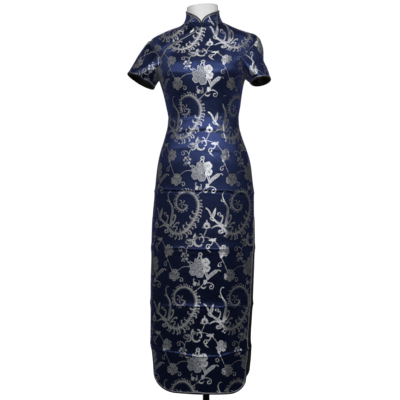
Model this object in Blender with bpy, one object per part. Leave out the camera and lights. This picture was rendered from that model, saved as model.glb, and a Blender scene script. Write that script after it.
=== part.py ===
"""Cheongsam dress on a limbless dress form with a pole and a round base.

Metres, +Z up. The dress faces -Y and the origin is the centre of the base's underside.
Each cloth piece is a thin wall laid over one shared figure: a point of the figure is given by an angle round
it, from the front centre towards +X, and by a level, the height of the section it lies on.
"""
import math

import bmesh
import bpy
import numpy as np

# ---------------------------------------------------------------- driving sizes
CLOTH = 0.0015                  # wall of the brocade
SEAM_GAP = 0.0003               # between pieces that are sewn together
FIGURE_AT = (-0.0065, -0.025)   # the figure's axis from the pole, in X and Y

HEM = 0.0890                    # level of the hem
SLIT_TOP = 0.6900               # both side slits end here
UNDERARM = 1.1550
NECK = 1.3540                   # level of the neckline, all round
NECK_X, NECK_Y = -0.0035, 0.0040   # the neck's middle from the figure's axis
SHOULDER_TIP = {-1: 1.2990, 1: 1.3100}
TILT_FROM = 1.1900              # sections start to lean forward above this level
TILT, TILT_BEND = 0.35, -1.90

ARMHOLE_DEG = {"front": 35.0, "back": 29.0}   # how far the armhole is cut in from the side
ARMHOLE_POWER = 0.85
ARMHOLE_ROWS, SHOULDER_ROWS, COLUMNS = 12, 4, 20

BUST_LEVEL, BUST_DEG, BUST_RISE = 1.1680, 34.0, 0.0100

BINDING, BINDING_THICK, BINDING_LIFT = 0.0062, 0.0011, 0.0009
UNDERLAP = 0.0140               # how far the shoulder piece runs on under the front
COLLAR_HEIGHT, COLLAR_END, COLLAR_CORNER = 0.0450, 0.0130, 0.0520
COLLAR_GAP = 0.0045             # half the angle between the collar's front ends
FORM_CLEAR, FORM_CLEAR_TOP = 0.0052, 0.0095   # form below the cloth's outer face, and at the shoulders

POLE_R = 0.0120
BASE_R, BASE_THICK, BASE_HUB_R, BASE_HUB = 0.1400, 0.0100, 0.0280, 0.0260
FORM_FOOT, NECK_TOP = 0.7050, 1.4095
NECK_SLOPE = 0.055              # the neck's top is higher towards +X

# level, half width towards -X, half width towards +X, depth in front, depth behind
SECTIONS = (
    (0.089, 0.1737, 0.1590, 0.078, 0.074),
    (0.155, 0.1750, 0.1590, 0.081, 0.077),
    (0.217, 0.1800, 0.1632, 0.084, 0.080),
    (0.259, 0.1848, 0.1622, 0.086, 0.082),
    (0.362, 0.1840, 0.1672, 0.091, 0.087),
    (0.445, 0.1840, 0.1708, 0.095, 0.092),
    (0.528, 0.1818, 0.1738, 0.099, 0.097),
    (0.611, 0.1806, 0.1756, 0.104, 0.103),
    (0.694, 0.1772, 0.1744, 0.109, 0.110),
    (0.756, 0.1712, 0.1738, 0.113, 0.115),
    (0.818, 0.1658, 0.1682, 0.115, 0.117),
    (0.860, 0.1606, 0.1634, 0.114, 0.115),
    (0.900, 0.1525, 0.1535, 0.110, 0.109),
    (0.942, 0.1398, 0.1384, 0.104, 0.099),
    (0.983, 0.1274, 0.1246, 0.098, 0.089),
    (1.025, 0.1234, 0.1216, 0.095, 0.083),
    (1.066, 0.1306, 0.1276, 0.100, 0.085),
    (1.107, 0.1400, 0.1330, 0.109, 0.091),
    (1.150, 0.1530, 0.1415, 0.116, 0.097),
    (1.190, 0.1640, 0.1560, 0.115, 0.100),
    (1.220, 0.1710, 0.1700, 0.110, 0.100),
    (1.250, 0.1780, 0.1790, 0.102, 0.099),
    (1.280, 0.1880, 0.1845, 0.093, 0.095),
    (1.300, 0.1825, 0.1860, 0.086, 0.090),
    (1.309, 0.1710, 0.1790, 0.082, 0.087),
    (1.318, 0.1530, 0.1510, 0.078, 0.083),
    (1.330, 0.1250, 0.1170, 0.072, 0.077),
    (1.345, 0.0810, 0.0850, 0.065, 0.067),
    (1.354, 0.0695, 0.0655, 0.060, 0.060),
)

# level, how far each panel's slit edge stands in from the section's full width, in X
SLIT_TRIM = (
    # level, front -X, front +X, back -X, back +X
    (0.089, 0.0000, 0.0090, 0.0060, 0.0000),
    (0.155, 0.0000, 0.0090, 0.0060, 0.0000),
    (0.240, 0.0000, 0.0060, 0.0050, 0.0000),
    (0.400, 0.0000, 0.0040, 0.0035, 0.0000),
    (0.569, 0.0000, 0.0025, 0.0020, 0.0000),
    (0.690, 0.0000, 0.0000, 0.0000, 0.0000),
)

# rounded hem corners: panel and side, radius in X, radius in Z
HEM_CORNERS = {
    ("front", -1): (0.084, 0.064),
    ("front", 1): (0.052, 0.046),
    ("back", -1): (0.084, 0.064),
    ("back", 1): (0.100, 0.078),
}

# the edge from the middle of the armhole to the front of the collar: share of its length, angle, level
OPENING = (
    (0.30, -38.6, 1.2790),
    (0.62, -27.6, 1.3120),
    (0.90, -12.0, 1.3495),
    (1.00, -0.8, 1.3540),
)

# where the cloth was folded for keeping: level, rise, half height of the ridge, sag at the middle
FOLDS = (
    (0.238, 0.0020, 0.014, -0.020),
    (0.386, 0.0022, 0.014, 0.000),
    (0.577, 0.0018, 0.014, 0.004),
    (0.770, 0.0014, 0.014, 0.010),
    (0.972, 0.0014, 0.014, 0.004),
    (1.168, 0.0016, 0.014, 0.000),
)

# sleeves: armhole to cuff, the cuff's ring, and the swell of the sleeve's head along its length
SLEEVES = {
    "right": {   # the wearer's right, on the -X side; stands out stiffly
        "side": -1,
        "outer": (-0.2665, 1.1775),     # the cuff's outer end in X and Z
        "inner": (-0.1760, 1.1335),     # the cuff's inner end
        "half_depth": 0.0700,
        "front_lift": 0.0090,
        "depth_at": 0.0080,
        "swell": ((0.00, 0.000), (0.08, 0.0065), (0.22, 0.0078), (0.45, 0.007), (0.75, 0.003), (1.00, 0.000)),
    },
    "left": {    # the wearer's left, on the +X side; hangs steeper, with a kink
        "side": 1,
        "outer": (0.2315, 1.1555),
        "inner": (0.1640, 1.1400),
        "half_depth": 0.0760,
        "front_lift": 0.0030,
        "depth_at": 0.0080,
        "swell": ((0.00, 0.000), (0.12, 0.008), (0.28, 0.009), (0.58, -0.003), (0.80, 0.001), (1.00, 0.000)),
    },
}

# the form's neck above the shoulders: level, half width, depth in front, depth behind
NECK_SECTIONS = (
    (1.3600, 0.0570, 0.0485, 0.0500),
    (1.3720, 0.0545, 0.0465, 0.0480),
    (1.3900, 0.0542, 0.0460, 0.0470),
    (1.4082, 0.0540, 0.0458, 0.0465),
    (1.4095, 0.0527, 0.0446, 0.0453),
)


# ---------------------------------------------------------------- curves through tables
def table_curve(table):
    """A smooth curve through a table's rows that never overshoots them."""
    rows = np.array(sorted(table), dtype=float)
    knots, values = rows[:, 0], rows[:, 1:]
    step = np.diff(knots)[:, None]
    slope = np.diff(values, axis=0) / step
    tangent = np.zeros_like(values)
    tangent[0], tangent[-1] = slope[0], slope[-1]
    same_way = slope[:-1] * slope[1:] > 0
    total = np.where(same_way, slope[:-1] + slope[1:], 1.0)
    tangent[1:-1] = np.where(same_way, 2 * slope[:-1] * slope[1:] / total, 0.0)

    def at(where):
        where = np.clip(np.asarray(where, dtype=float), knots[0], knots[-1])
        row = np.clip(np.searchsorted(knots, where) - 1, 0, len(knots) - 2)
        share = ((where - knots[row]) / step[row, 0])[..., None]
        start, end = values[row], values[row + 1]
        lead, trail = tangent[row] * step[row], tangent[row + 1] * step[row]
        square, cube = share ** 2, share ** 3
        point = (2 * cube - 3 * square + 1) * start + (cube - 2 * square + share) * lead
        point = point + (3 * square - 2 * cube) * end + (cube - square) * trail
        return np.moveaxis(point, -1, 0)

    return at


def ease(share):
    share = np.clip(share, 0.0, 1.0)
    return share * share * (3 - 2 * share)


section_at = table_curve(SECTIONS)
trim_at = table_curve(SLIT_TRIM)
neck_at = table_curve(NECK_SECTIONS)


# ---------------------------------------------------------------- the figure
def lean(level):
    return ease((level - TILT_FROM) / (NECK - TILT_FROM))


def figure(angle, level):
    """Point of the figure that the cloth's outer face follows."""
    left, right, front, back = section_at(level)
    across, ahead = np.sin(angle), np.cos(angle)
    x = np.where(across >= 0, right, left) * across
    y = -np.where(ahead >= 0, front, back) * ahead
    up_share = np.exp(-((level - BUST_LEVEL) / 0.058) ** 2)
    for side in (-1, 1):
        off = (angle - side * math.radians(BUST_DEG)) / 0.40
        y = y - BUST_RISE * up_share * np.exp(-off ** 2)
    z = level + lean(level) * (TILT * y + TILT_BEND * y * y)
    return np.stack([x, y + NECK_Y, z], axis=-1)


def normal_of(surface, first, second):
    small = 1e-4
    along = surface(first + small, second) - surface(first - small, second)
    up = surface(first, second + small) - surface(first, second - small)
    cross = np.cross(along, up)
    return cross / np.linalg.norm(cross, axis=-1, keepdims=True)


def fold_rise(angle, level):
    rise = np.zeros(np.broadcast(angle, level).shape)
    for fold_level, height, half, sag in FOLDS:
        middle = fold_level + sag * np.cos(angle) ** 2 * np.where(np.cos(angle) > 0, 1.0, 0.4)
        rise = rise + height * np.exp(-((level - middle) / half) ** 2)
    return rise


def cloth(angle, level):
    """The outer face of the cloth: the figure with its fold ridges."""
    angle, level = np.broadcast_arrays(np.asarray(angle, float), np.asarray(level, float))
    return figure(angle, level) + normal_of(figure, angle, level) * fold_rise(angle, level)[..., None]


# ---------------------------------------------------------------- the edges of the panels
def side_angle(face, side, level, rounded=True):
    """A panel's edge below the underarm: the side seam, and under it the slit's edge."""
    left, right = section_at(level)[:2]
    trims = trim_at(level)
    trim = trims[{("front", -1): 0, ("front", 1): 1, ("back", -1): 2, ("back", 1): 3}[face, side]]
    radius_x, radius_z = HEM_CORNERS[face, side]
    over = np.clip(1 - (level - HEM) / radius_z, 0.0, 1.0)
    corner = radius_x * (1 - np.sqrt(1 - over ** 2)) * rounded
    half = right if side > 0 else left
    gap = 0.5 * SEAM_GAP / section_at(level)[2]
    return side * (np.arcsin(np.clip((half - trim - corner) / half, -1, 1)) - gap)


def armhole_shares():
    """Shares of the armhole at its rows, closer together at both ends; the middle one meets the opening."""
    return 0.5 - 0.5 * np.cos(math.pi * np.arange(ARMHOLE_ROWS + 1) / ARMHOLE_ROWS)


def armhole(face, side, share):
    """Angle and level on an armhole's edge, from the underarm to the shoulder's tip."""
    level = UNDERARM + (SHOULDER_TIP[side] - UNDERARM) * share
    cut = math.radians(ARMHOLE_DEG[face]) * np.sin(math.pi * share ** ARMHOLE_POWER)
    return side * (math.pi / 2 - cut - 0.5 * SEAM_GAP / 0.1), level


def opening_start():
    angle, level = armhole("front", -1, 0.5)
    return (0.0, math.degrees(angle), float(level))


opening_at = table_curve((opening_start(),) + OPENING)


def shoulder(side, share):
    level = SHOULDER_TIP[side] + (NECK - SHOULDER_TIP[side]) * share
    return side * (math.pi / 2 - 0.5 * SEAM_GAP / 0.08) * np.ones_like(level), level


def row_levels():
    """Levels of a panel's rows up to the underarm, close together at the fold ridges."""
    levels = [HEM + step for step in (0.0, 0.007, 0.020, 0.040, 0.066)]
    stops = [fold[0] for fold in FOLDS if fold[0] < UNDERARM - 0.03]
    last = levels[-1]
    for stop in stops:
        between = max(1, round((stop - 0.018 - last) / 0.040))
        levels += [last + (stop - 0.018 - last) * (k + 1) / between for k in range(between)]
        levels += [stop, stop + 0.018]
        last = levels[-1]
    between = max(1, round((UNDERARM - last) / 0.040))
    levels += [last + (UNDERARM - last) * (k + 1) / between for k in range(between)]
    return np.array(levels)


LOWER = row_levels()


def side_boundary(face, side):
    """Angle and level at the end of each row above the underarm, up a whole side of a panel."""
    angle_1, level_1 = armhole(face, side, armhole_shares()[1:])
    angle_2, level_2 = shoulder(side, np.arange(1, SHOULDER_ROWS + 1) / SHOULDER_ROWS)
    return np.concatenate([angle_1, angle_2]), np.concatenate([level_1, level_2])


def opening_boundary():
    """The front panel's other side: the armhole to its middle, then the opening to the collar."""
    low = ARMHOLE_ROWS // 2
    angle_1, level_1 = armhole("front", -1, armhole_shares()[1:low + 1])
    rest = ARMHOLE_ROWS - low + SHOULDER_ROWS
    angle_2, level_2 = opening_at(np.arange(1, rest + 1) / rest)
    return np.concatenate([angle_1, np.radians(angle_2)]), np.concatenate([level_1, level_2])


def lower_rows(face, share):
    """Angles and levels of the rows up to the underarm, drawn in round the hem's two corners."""
    left_full, right_full = (side_angle(face, side, LOWER, rounded=False) for side in (-1, 1))
    angle = left_full[:, None] * (1 - share) + right_full[:, None] * share
    level = np.repeat(LOWER[:, None], len(share), axis=1)
    fade = 1 - ease((LOWER - HEM) / 0.11)
    for side in (-1, 1):
        radius_x, radius_z = HEM_CORNERS[face, side]
        half = float(section_at(HEM)[0 if side < 0 else 1])
        near = np.clip((side * (2 * share - 1) - 0.25) / 0.75, 0, 1) ** 1.5
        trim = trim_at(HEM)[{("front", -1): 0, ("front", 1): 1, ("back", -1): 2, ("back", 1): 3}[face, side]]
        end = half - trim - (1 - math.sqrt(0.5)) * radius_x
        low_angle = angle[0] + side * (math.asin(end / half) - abs(angle[0, -1 if side > 0 else 0])) * near
        from_edge = half - trim - half * np.sin(np.clip(side * low_angle, 0, math.pi / 2))
        over = np.clip(1 - from_edge / radius_x, 0, 1)
        lift = radius_z * (1 - np.sqrt(1 - over ** 2))
        level = level + fade[:, None] * lift[None, :]
        edge_level = level[:, -1 if side > 0 else 0]
        full = side_angle(face, side, edge_level, rounded=False)
        angle = angle + (side_angle(face, side, edge_level) - full)[:, None] * near[None, :]
    return angle, level


def panel_grid(face, left_boundary, right_boundary, columns=COLUMNS):
    """Angles and levels of a whole panel, a row of them for each level."""
    share = np.linspace(0, 1, columns + 1)
    angle_1, level_1 = lower_rows(face, share)
    angle_2 = left_boundary[0][:, None] * (1 - share) + right_boundary[0][:, None] * share
    level_2 = left_boundary[1][:, None] * (1 - share) + right_boundary[1][:, None] * share
    return np.concatenate([angle_1, angle_2]), np.concatenate([level_1, level_2])


# ---------------------------------------------------------------- sleeves and collar
def armhole_ring(side, turn):
    """The closed armhole: turn 0 at the shoulder's tip, a quarter in front, a half at the underarm."""
    turn = np.mod(turn, 1.0)
    ahead = turn < 0.5
    share = 0.5 + 0.5 * np.cos(2 * math.pi * turn)
    clear = 0.0009
    level = UNDERARM + clear + (SHOULDER_TIP[side] - UNDERARM - 2 * clear) * share
    bump = np.sin(math.pi * share ** ARMHOLE_POWER)
    front_angle = math.pi / 2 - (math.radians(ARMHOLE_DEG["front"]) - 0.005) * bump
    back_angle = math.pi / 2 + (math.radians(ARMHOLE_DEG["back"]) - 0.005) * bump
    return cloth(side * np.where(ahead, front_angle, back_angle), level)


def sleeve_surface(which):
    """A sleeve's outer face by turn round it and share of the way from armhole to cuff."""
    size = SLEEVES[which]
    side = size["side"]
    outer, inner = size["outer"], size["inner"]
    swell_at = table_curve(size["swell"])
    middle = np.array([(outer[0] + inner[0]) / 2, size["depth_at"], (outer[1] + inner[1]) / 2])
    upward = np.array([(outer[0] - inner[0]) / 2, 0.0, (outer[1] - inner[1]) / 2])
    forward = np.array([0.0, -size["half_depth"], size["front_lift"]])

    def surface(turn, share):
        turn, share = np.broadcast_arrays(np.asarray(turn, float), np.asarray(share, float))
        around = 2 * math.pi * turn
        ring = armhole_ring(side, turn)
        cuff = middle + np.cos(around)[..., None] * upward + np.sin(around)[..., None] * forward
        way = share[..., None]
        head = np.maximum(np.cos(around), 0.0) ** 0.8 * swell_at(share)[0]
        belly = 0.006 * np.sin(math.pi * np.clip(share, 0, 1)) * np.sin(around) ** 2
        point = (1 - way) * ring + way * cuff
        point = point + head[..., None] * np.array([side * 0.85, 0.0, 0.55])
        point[..., 1] -= belly * np.sign(np.sin(around))
        return point

    return surface


def collar_height(angle):
    """Height of the collar, its front ends rounded off."""
    from_end = np.abs(angle) * 0.060
    over = np.clip(1 - from_end / COLLAR_CORNER, 0, 1)
    drop = 1 - np.sqrt(1 - over ** 2.2)
    return COLLAR_HEIGHT - (COLLAR_HEIGHT - COLLAR_END) * drop


def collar_surface(angle, height):
    """The collar's outer face: angle round the neck, height of cloth above its foot."""
    angle, height = np.broadcast_arrays(np.asarray(angle, float), np.asarray(height, float))
    angle = np.where(angle > math.pi, angle - 2 * math.pi, angle)
    foot = figure(angle, np.full(angle.shape, NECK))
    foot[..., 2] += SEAM_GAP + 0.0004
    half = 0.0575
    depth = np.where(np.cos(angle) > 0, 0.0500, 0.0520)
    top = np.stack([NECK_X + half * np.sin(angle), -depth * np.cos(angle) + NECK_Y - 0.001, foot[..., 2]], axis=-1)
    top[..., 2] += COLLAR_HEIGHT * 0.96 - 0.010 * (0.5 - 0.5 * np.cos(angle)) + 0.002
    share = (height / COLLAR_HEIGHT)[..., None]
    inward = 0.0030 * np.sin(math.pi * np.clip(share, 0, 1))
    point = foot + (top - foot) * share
    point[..., :2] *= 1 - inward / 0.06
    return point


def collar_edge(angle):
    """Height of the collar's free edge, by an angle that runs on past the back."""
    return collar_height(np.where(angle > math.pi, angle - 2 * math.pi, angle))


# ---------------------------------------------------------------- meshes
def clear_scene():
    for item in list(bpy.data.objects):
        bpy.data.objects.remove(item, do_unlink=True)


def material(name, color, roughness, metallic=0.0):
    made = bpy.data.materials.new(name)
    made.use_nodes = True
    shader = made.node_tree.nodes["Principled BSDF"]
    shader.inputs["Base Color"].default_value = (*color, 1.0)
    shader.inputs["Roughness"].default_value = roughness
    shader.inputs["Metallic"].default_value = metallic
    return made


def placed(points):
    return np.asarray(points) + np.array([FIGURE_AT[0], FIGURE_AT[1], 0.0])


def add_mesh(name, points, faces, look, smooth=True):
    mesh = bpy.data.meshes.new(name)
    mesh.from_pydata([tuple(p) for p in points], [], faces)
    mesh.materials.append(look)
    mesh.shade_smooth() if smooth else mesh.shade_flat()
    item = bpy.data.objects.new(name, mesh)
    COLLECTION.objects.link(item)
    return item


def grid_faces(rows, columns, closed=False, flip=False):
    faces = []
    last = columns if closed else columns - 1
    for row in range(rows - 1):
        for column in range(last):
            after = (column + 1) % columns
            face = [row * columns + column, row * columns + after]
            face += [(row + 1) * columns + after, (row + 1) * columns + column]
            faces.append(face[::-1] if flip else face)
    return faces


def wall(name, low, high, look, closed=False):
    """A closed wall between two grids of points, the second being its outer face."""
    rows, columns = low.shape[:2]
    count = rows * columns
    outer = grid_faces(rows, columns, closed)
    faces = [[count + k for k in face] for face in outer] + [face[::-1] for face in outer]
    loops = []
    if closed:
        loops.append([k for k in range(columns)] + [0])
        loops.append([(rows - 1) * columns + k for k in range(columns)] + [(rows - 1) * columns])
    else:
        border = list(range(columns)) + [row * columns + columns - 1 for row in range(1, rows)]
        border += [(rows - 1) * columns + k for k in range(columns - 2, -1, -1)]
        border += [row * columns for row in range(rows - 2, -1, -1)]
        loops.append(border)
    for loop in loops:
        faces += [[loop[k], loop[k + 1], count + loop[k + 1], count + loop[k]] for k in range(len(loop) - 1)]
    points = placed(np.concatenate([low.reshape(-1, 3), high.reshape(-1, 3)]))
    item = add_mesh(name, points, faces, look)
    shape = bmesh.new()
    shape.from_mesh(item.data)
    bmesh.ops.recalc_face_normals(shape, faces=shape.faces)
    shape.to_mesh(item.data)
    shape.free()
    item.data.set_sharp_from_angle(angle=math.radians(50))
    return item


def cloth_wall(name, surface, first, second, look, outward, closed=False, sunk=0.0):
    """One thickness of cloth below a surface given by two parameters; outward is the normal's sign."""
    first, second = np.broadcast_arrays(np.asarray(first, float), np.asarray(second, float))
    points = surface(first, second)
    normal = normal_of(surface, first, second) * outward
    sunk = np.broadcast_to(sunk, first.shape)[..., None]
    return wall(name, points - normal * (CLOTH + sunk), points - normal * sunk, look, closed)


def step_in(surface, first, second, tangent, distance, turn):
    """Parameters of the point that lies a distance in from an edge, across the edge's direction."""
    small = 1e-4
    along = (surface(first + small, second) - surface(first - small, second)) / (2 * small)
    up = (surface(first, second + small) - surface(first, second - small)) / (2 * small)
    inward = np.cross(np.cross(along, up), tangent) * turn
    inward /= np.linalg.norm(inward, axis=-1, keepdims=True)
    aa, au, uu = (np.sum(a * b, axis=-1) for a, b in ((along, along), (along, up), (up, up)))
    ai, ui = np.sum(along * inward, axis=-1), np.sum(up * inward, axis=-1)
    spread = aa * uu - au ** 2
    return first + distance * (ai * uu - ui * au) / spread, second + distance * (ui * aa - ai * au) / spread


def edge_strip(name, surface, first, second, turn, look, outward, closed=False):
    """A bound edge: a strip laid on a piece along its edge, just clear of it."""
    edge = surface(first, second)
    if closed:
        tangent = np.roll(edge, -1, axis=0) - np.roll(edge, 1, axis=0)
    else:
        tangent = np.gradient(edge, axis=0)
    tangent /= np.linalg.norm(tangent, axis=-1, keepdims=True)
    low, high = [], []
    for distance in (0.0002, BINDING):
        a, b = step_in(surface, first, second, tangent, distance, turn)
        normal = normal_of(surface, a, b) * outward
        low.append(surface(a, b) + normal * BINDING_LIFT)
        high.append(surface(a, b) + normal * (BINDING_LIFT + BINDING_THICK))
    return wall(name, np.stack(low), np.stack(high), look, closed)


def lathe(name, profile, look, segments=48):
    """A turned solid about the pole's axis from radii and heights."""
    angle = np.linspace(0, 2 * math.pi, segments, endpoint=False)
    points, faces = [], []
    for radius, height in profile:
        points += [(radius * math.cos(a), radius * math.sin(a), height) for a in angle]
    faces += grid_faces(len(profile), segments, closed=True)
    top = (len(profile) - 1) * segments
    faces.append([top + k for k in range(segments)])
    faces.append([k for k in range(segments)][::-1])
    item = add_mesh(name, points, faces, look)
    return item


# ---------------------------------------------------------------- the dress
def front_cloth(angle, level):
    return cloth(angle, level)


def back_cloth(angle, level):
    """The cloth by an angle counted from the middle of the back, still towards +X."""
    return cloth(math.pi - angle, level)


def build_panels(silk):
    angle, level = panel_grid("front", opening_boundary(), side_boundary("front", 1))
    cloth_wall("front_panel", front_cloth, angle, level, silk, outward=1)
    angle, level = panel_grid("back", side_boundary("back", -1), side_boundary("back", 1))
    cloth_wall("back_panel", back_cloth, angle, level, silk, outward=-1)


def underlap_point(along, up):
    """Angle and level on the shoulder piece: share along the opening, share up from it."""
    def opening(share):
        angle, level = opening_at(share)
        return np.stack([np.radians(angle), level])

    def top(share):
        angle, level = shoulder(-1, share)
        return np.stack([angle + 0.003, level])

    def arm(share):
        angle, level = armhole("front", -1, 0.5 + 0.5 * share)
        return np.stack([angle + 0.003 * share, level])

    def neckline(share):
        share = np.arcsin(share) / (math.pi / 2)
        angle = math.radians(-0.8) * (1 - share) - (math.pi / 2 - 0.002) * share
        return np.stack([angle, NECK * np.ones_like(share)])

    nil, one = np.zeros_like(along), np.ones_like(along)
    corners = (1 - along) * (1 - up) * opening(nil) + along * (1 - up) * opening(one)
    corners = corners + (1 - along) * up * top(nil) + along * up * top(one)
    mixed = (1 - up) * opening(along) + up * top(along)
    return mixed + (1 - along) * arm(up) + along * neckline(up) - corners


def build_underlap(silk):
    """The shoulder piece: between the opening, armhole, shoulder seam and collar, tucked under the front."""
    low = ARMHOLE_ROWS // 2
    up = np.concatenate([[0.0], 2 * armhole_shares()[low:] - 1])
    along = np.linspace(0, 1, 11)
    along, up = np.meshgrid(along, up, indexing="ij")
    angle, level = underlap_point(along, up)
    tuck = UNDERLAP * np.minimum(1.0, np.minimum(along[:, 0] / 0.12, (1 - along[:, 0]) / 0.25))
    level[:, 0] -= 0.9 * tuck + 0.0005
    angle[:, 0] += 0.2 * tuck / 0.10
    sunk = (CLOTH + 0.0012) * (1 - ease(up / 0.6))
    cloth_wall("front_underlap", front_cloth, angle, level, silk, outward=1, sunk=sunk)


def build_sleeves(silk, trim):
    share = np.array([0.0, 0.06, 0.14, 0.26, 0.40, 0.54, 0.66, 0.82, 1.0])
    share = 0.012 + (1 - 0.012) * share
    for which, size in SLEEVES.items():
        surface = sleeve_surface(which)
        half_turns = np.arange(ARMHOLE_ROWS) / (2 * ARMHOLE_ROWS)
        turn = np.concatenate([half_turns, 0.5 + half_turns])
        cloth_wall("sleeve_" + which, surface, turn[None, :], share[:, None], silk, size["side"], closed=True)
        edge_strip(
            "cuff_binding_" + which, surface, turn, np.ones(len(turn)), -1, trim, size["side"], closed=True,
        )


def build_collar(silk, trim):
    bend = np.concatenate([COLLAR_GAP + (1.1 - COLLAR_GAP) * np.linspace(0, 1, 13) ** 1.5,
                           np.linspace(1.1, math.pi, 10)[1:]])
    angle = np.concatenate([bend, (2 * math.pi - bend[::-1])[1:]])
    height = np.linspace(0, 1, 4)[:, None] * collar_edge(angle)[None, :]
    cloth_wall("collar", collar_surface, angle[None, :], height, silk, outward=1)
    edge_strip("collar_binding", collar_surface, angle, collar_edge(angle), -1, trim, outward=1)


def build_bindings(trim):
    for face, surface, outward in (("front", front_cloth, 1), ("back", back_cloth, -1)):
        first_edge = opening_boundary() if face == "front" else side_boundary("back", -1)
        angle, level = panel_grid(face, first_edge, side_boundary(face, 1))
        below = [row for row in range(len(LOWER)) if LOWER[row] < SLIT_TOP - 0.004]
        down = [(angle[row, 0], level[row, 0]) for row in below[::-1]]
        along = [(angle[0, column], level[0, column]) for column in range(1, COLUMNS)]
        up = [(angle[row, -1], level[row, -1]) for row in below]
        path = np.array(down + along + up)
        edge_strip(face + "_hem_binding", surface, path[:, 0], path[:, 1], 1, trim, outward)

    angle, level = opening_at(np.linspace(0.0, 0.965, 15))
    edge_strip("opening_binding", front_cloth, np.radians(angle), level, -1, trim, outward=1)


def build_form(cover, metal):
    """Torso and neck as one smooth closed solid, standing clear of the cloth."""
    turns = 40
    angle = np.linspace(0, 2 * math.pi, turns, endpoint=False)
    signed = np.where(angle > math.pi, angle - 2 * math.pi, angle)
    rings = []
    foot = ((FORM_FOOT, 0.030), (FORM_FOOT + 0.004, 0.012), (FORM_FOOT + 0.014, 0.003))
    levels = [(level, FORM_CLEAR + extra) for level, extra in foot]
    levels += [(level, FORM_CLEAR) for level in np.linspace(0.76, 1.14, 12)]
    levels += [(level, FORM_CLEAR) for level in (1.168, 1.195, 1.22)]
    levels += [(1.245, 0.0060), (1.268, 0.0070), (1.288, FORM_CLEAR_TOP)]
    levels += [(level, FORM_CLEAR_TOP) for level in (1.303, 1.316, 1.330, 1.343)] + [(1.350, 0.0085)]
    for level, clear in levels:
        flat = np.full(turns, level)
        rings.append(figure(signed, flat) - normal_of(figure, signed, flat) * clear)
    for level, half, front, back in NECK_SECTIONS:
        ahead = np.cos(signed)
        y = NECK_Y - 0.002 - np.where(ahead >= 0, front, back) * ahead
        fade = 1 - ease((level - 1.360) / (NECK_TOP - 1.360))
        z = level + fade * 0.30 * (y - NECK_Y) + NECK_SLOPE * half * np.sin(signed) * (1 - fade)
        rings.append(np.stack([NECK_X * ease((level - NECK) / 0.012) + half * np.sin(signed), y, z], axis=-1))
    points = placed(np.array(rings)).reshape(-1, 3)
    faces = grid_faces(len(rings), turns, closed=True)
    top = (len(rings) - 1) * turns
    faces.append([top + k for k in range(turns)])
    faces.append([k for k in range(turns)][::-1])
    torso = add_mesh("form_torso", points, faces, cover)

    hub_top = BASE_THICK + BASE_HUB
    lathe("stand_base", (
        (BASE_R - 0.002, 0.0), (BASE_R, 0.002), (BASE_R, BASE_THICK - 0.002), (BASE_R - 0.002, BASE_THICK),
    ), metal)
    lathe("stand_hub", (
        (BASE_HUB_R, BASE_THICK + 0.0002), (BASE_HUB_R, BASE_THICK + 0.005), (BASE_HUB_R - 0.006, hub_top),
    ), metal, segments=40)
    lathe("stand_pole", ((POLE_R, hub_top + 0.0002), (POLE_R, FORM_FOOT - 0.0008)), metal, segments=32)
    return torso


# ---------------------------------------------------------------- build
clear_scene()
COLLECTION = bpy.data.collections.new("cheongsam_dress")
bpy.context.scene.collection.children.link(COLLECTION)

SILK = material("brocade_silk", (0.035, 0.055, 0.220), 0.40, 0.3)
TRIM = material("black_binding", (0.012, 0.012, 0.016), 0.45)
COVER = material("form_cover", (0.78, 0.78, 0.76), 0.60)
METAL = material("black_stand", (0.015, 0.015, 0.016), 0.40)

build_panels(SILK)
build_underlap(SILK)
build_sleeves(SILK, TRIM)
build_collar(SILK, TRIM)
build_bindings(TRIM)
build_form(COVER, METAL)
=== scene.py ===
import math

import bpy
import numpy as np
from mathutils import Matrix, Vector
from mathutils.geometry import delaunay_2d_cdt


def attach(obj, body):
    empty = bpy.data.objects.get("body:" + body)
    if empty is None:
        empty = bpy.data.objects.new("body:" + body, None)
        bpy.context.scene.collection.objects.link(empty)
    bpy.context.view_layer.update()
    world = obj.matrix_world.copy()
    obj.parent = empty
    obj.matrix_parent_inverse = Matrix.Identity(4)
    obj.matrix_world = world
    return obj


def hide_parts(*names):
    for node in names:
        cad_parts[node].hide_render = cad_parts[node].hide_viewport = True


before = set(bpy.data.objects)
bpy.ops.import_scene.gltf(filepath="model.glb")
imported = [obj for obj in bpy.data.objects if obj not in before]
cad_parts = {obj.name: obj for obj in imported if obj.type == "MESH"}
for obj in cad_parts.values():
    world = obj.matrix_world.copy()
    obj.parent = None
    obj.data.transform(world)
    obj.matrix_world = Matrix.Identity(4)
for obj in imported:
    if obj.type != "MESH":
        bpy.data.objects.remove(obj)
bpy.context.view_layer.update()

# ---- driving sizes, in metres
CLOTH = 0.0015                  # wall of the brocade
SHEET_THICK = 0.0008            # from a sheet's outer face to its lining
SEAM_GAP = 0.0003               # between pieces that are sewn together
FIGURE_AT = (-0.0065, -0.025)   # the figure's axis from the pole, in X and Y
STANDS_AT = np.array([*FIGURE_AT, 0.0])

HEM = 0.0890                    # level of the hem
SLIT_TOP = 0.6900               # both side slits end here
UNDERARM = 1.1550
NECK = 1.3540                   # level of the neckline, all round
NECK_X, NECK_Y = -0.0035, 0.0040   # the neck's middle from the figure's axis
SHOULDER_TIP = {-1: 1.2990, 1: 1.3100}
TILT_FROM = 1.1900              # sections start to lean forward above this level
TILT, TILT_BEND = 0.35, -1.90

ARMHOLE_DEG = {"front": 35.0, "back": 29.0}   # how far the armhole is cut in from the side
ARMHOLE_POWER, ARMHOLE_CLEAR = 0.85, 0.0009
ARMHOLE_DEPTH, SHOULDER_DEPTH = 0.10, 0.08    # the figure's depth there, which turns a gap into an angle
ARMHOLE_ROWS, SHOULDER_ROWS, COLUMNS = 12, 4, 20
HEM_ROWS = (0.0, 0.007, 0.020, 0.040, 0.066)  # a panel's lowest rows above the hem
ROW_HEIGHT, FOLD_ROW, CORNER_FADE = 0.040, 0.018, 0.110

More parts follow.
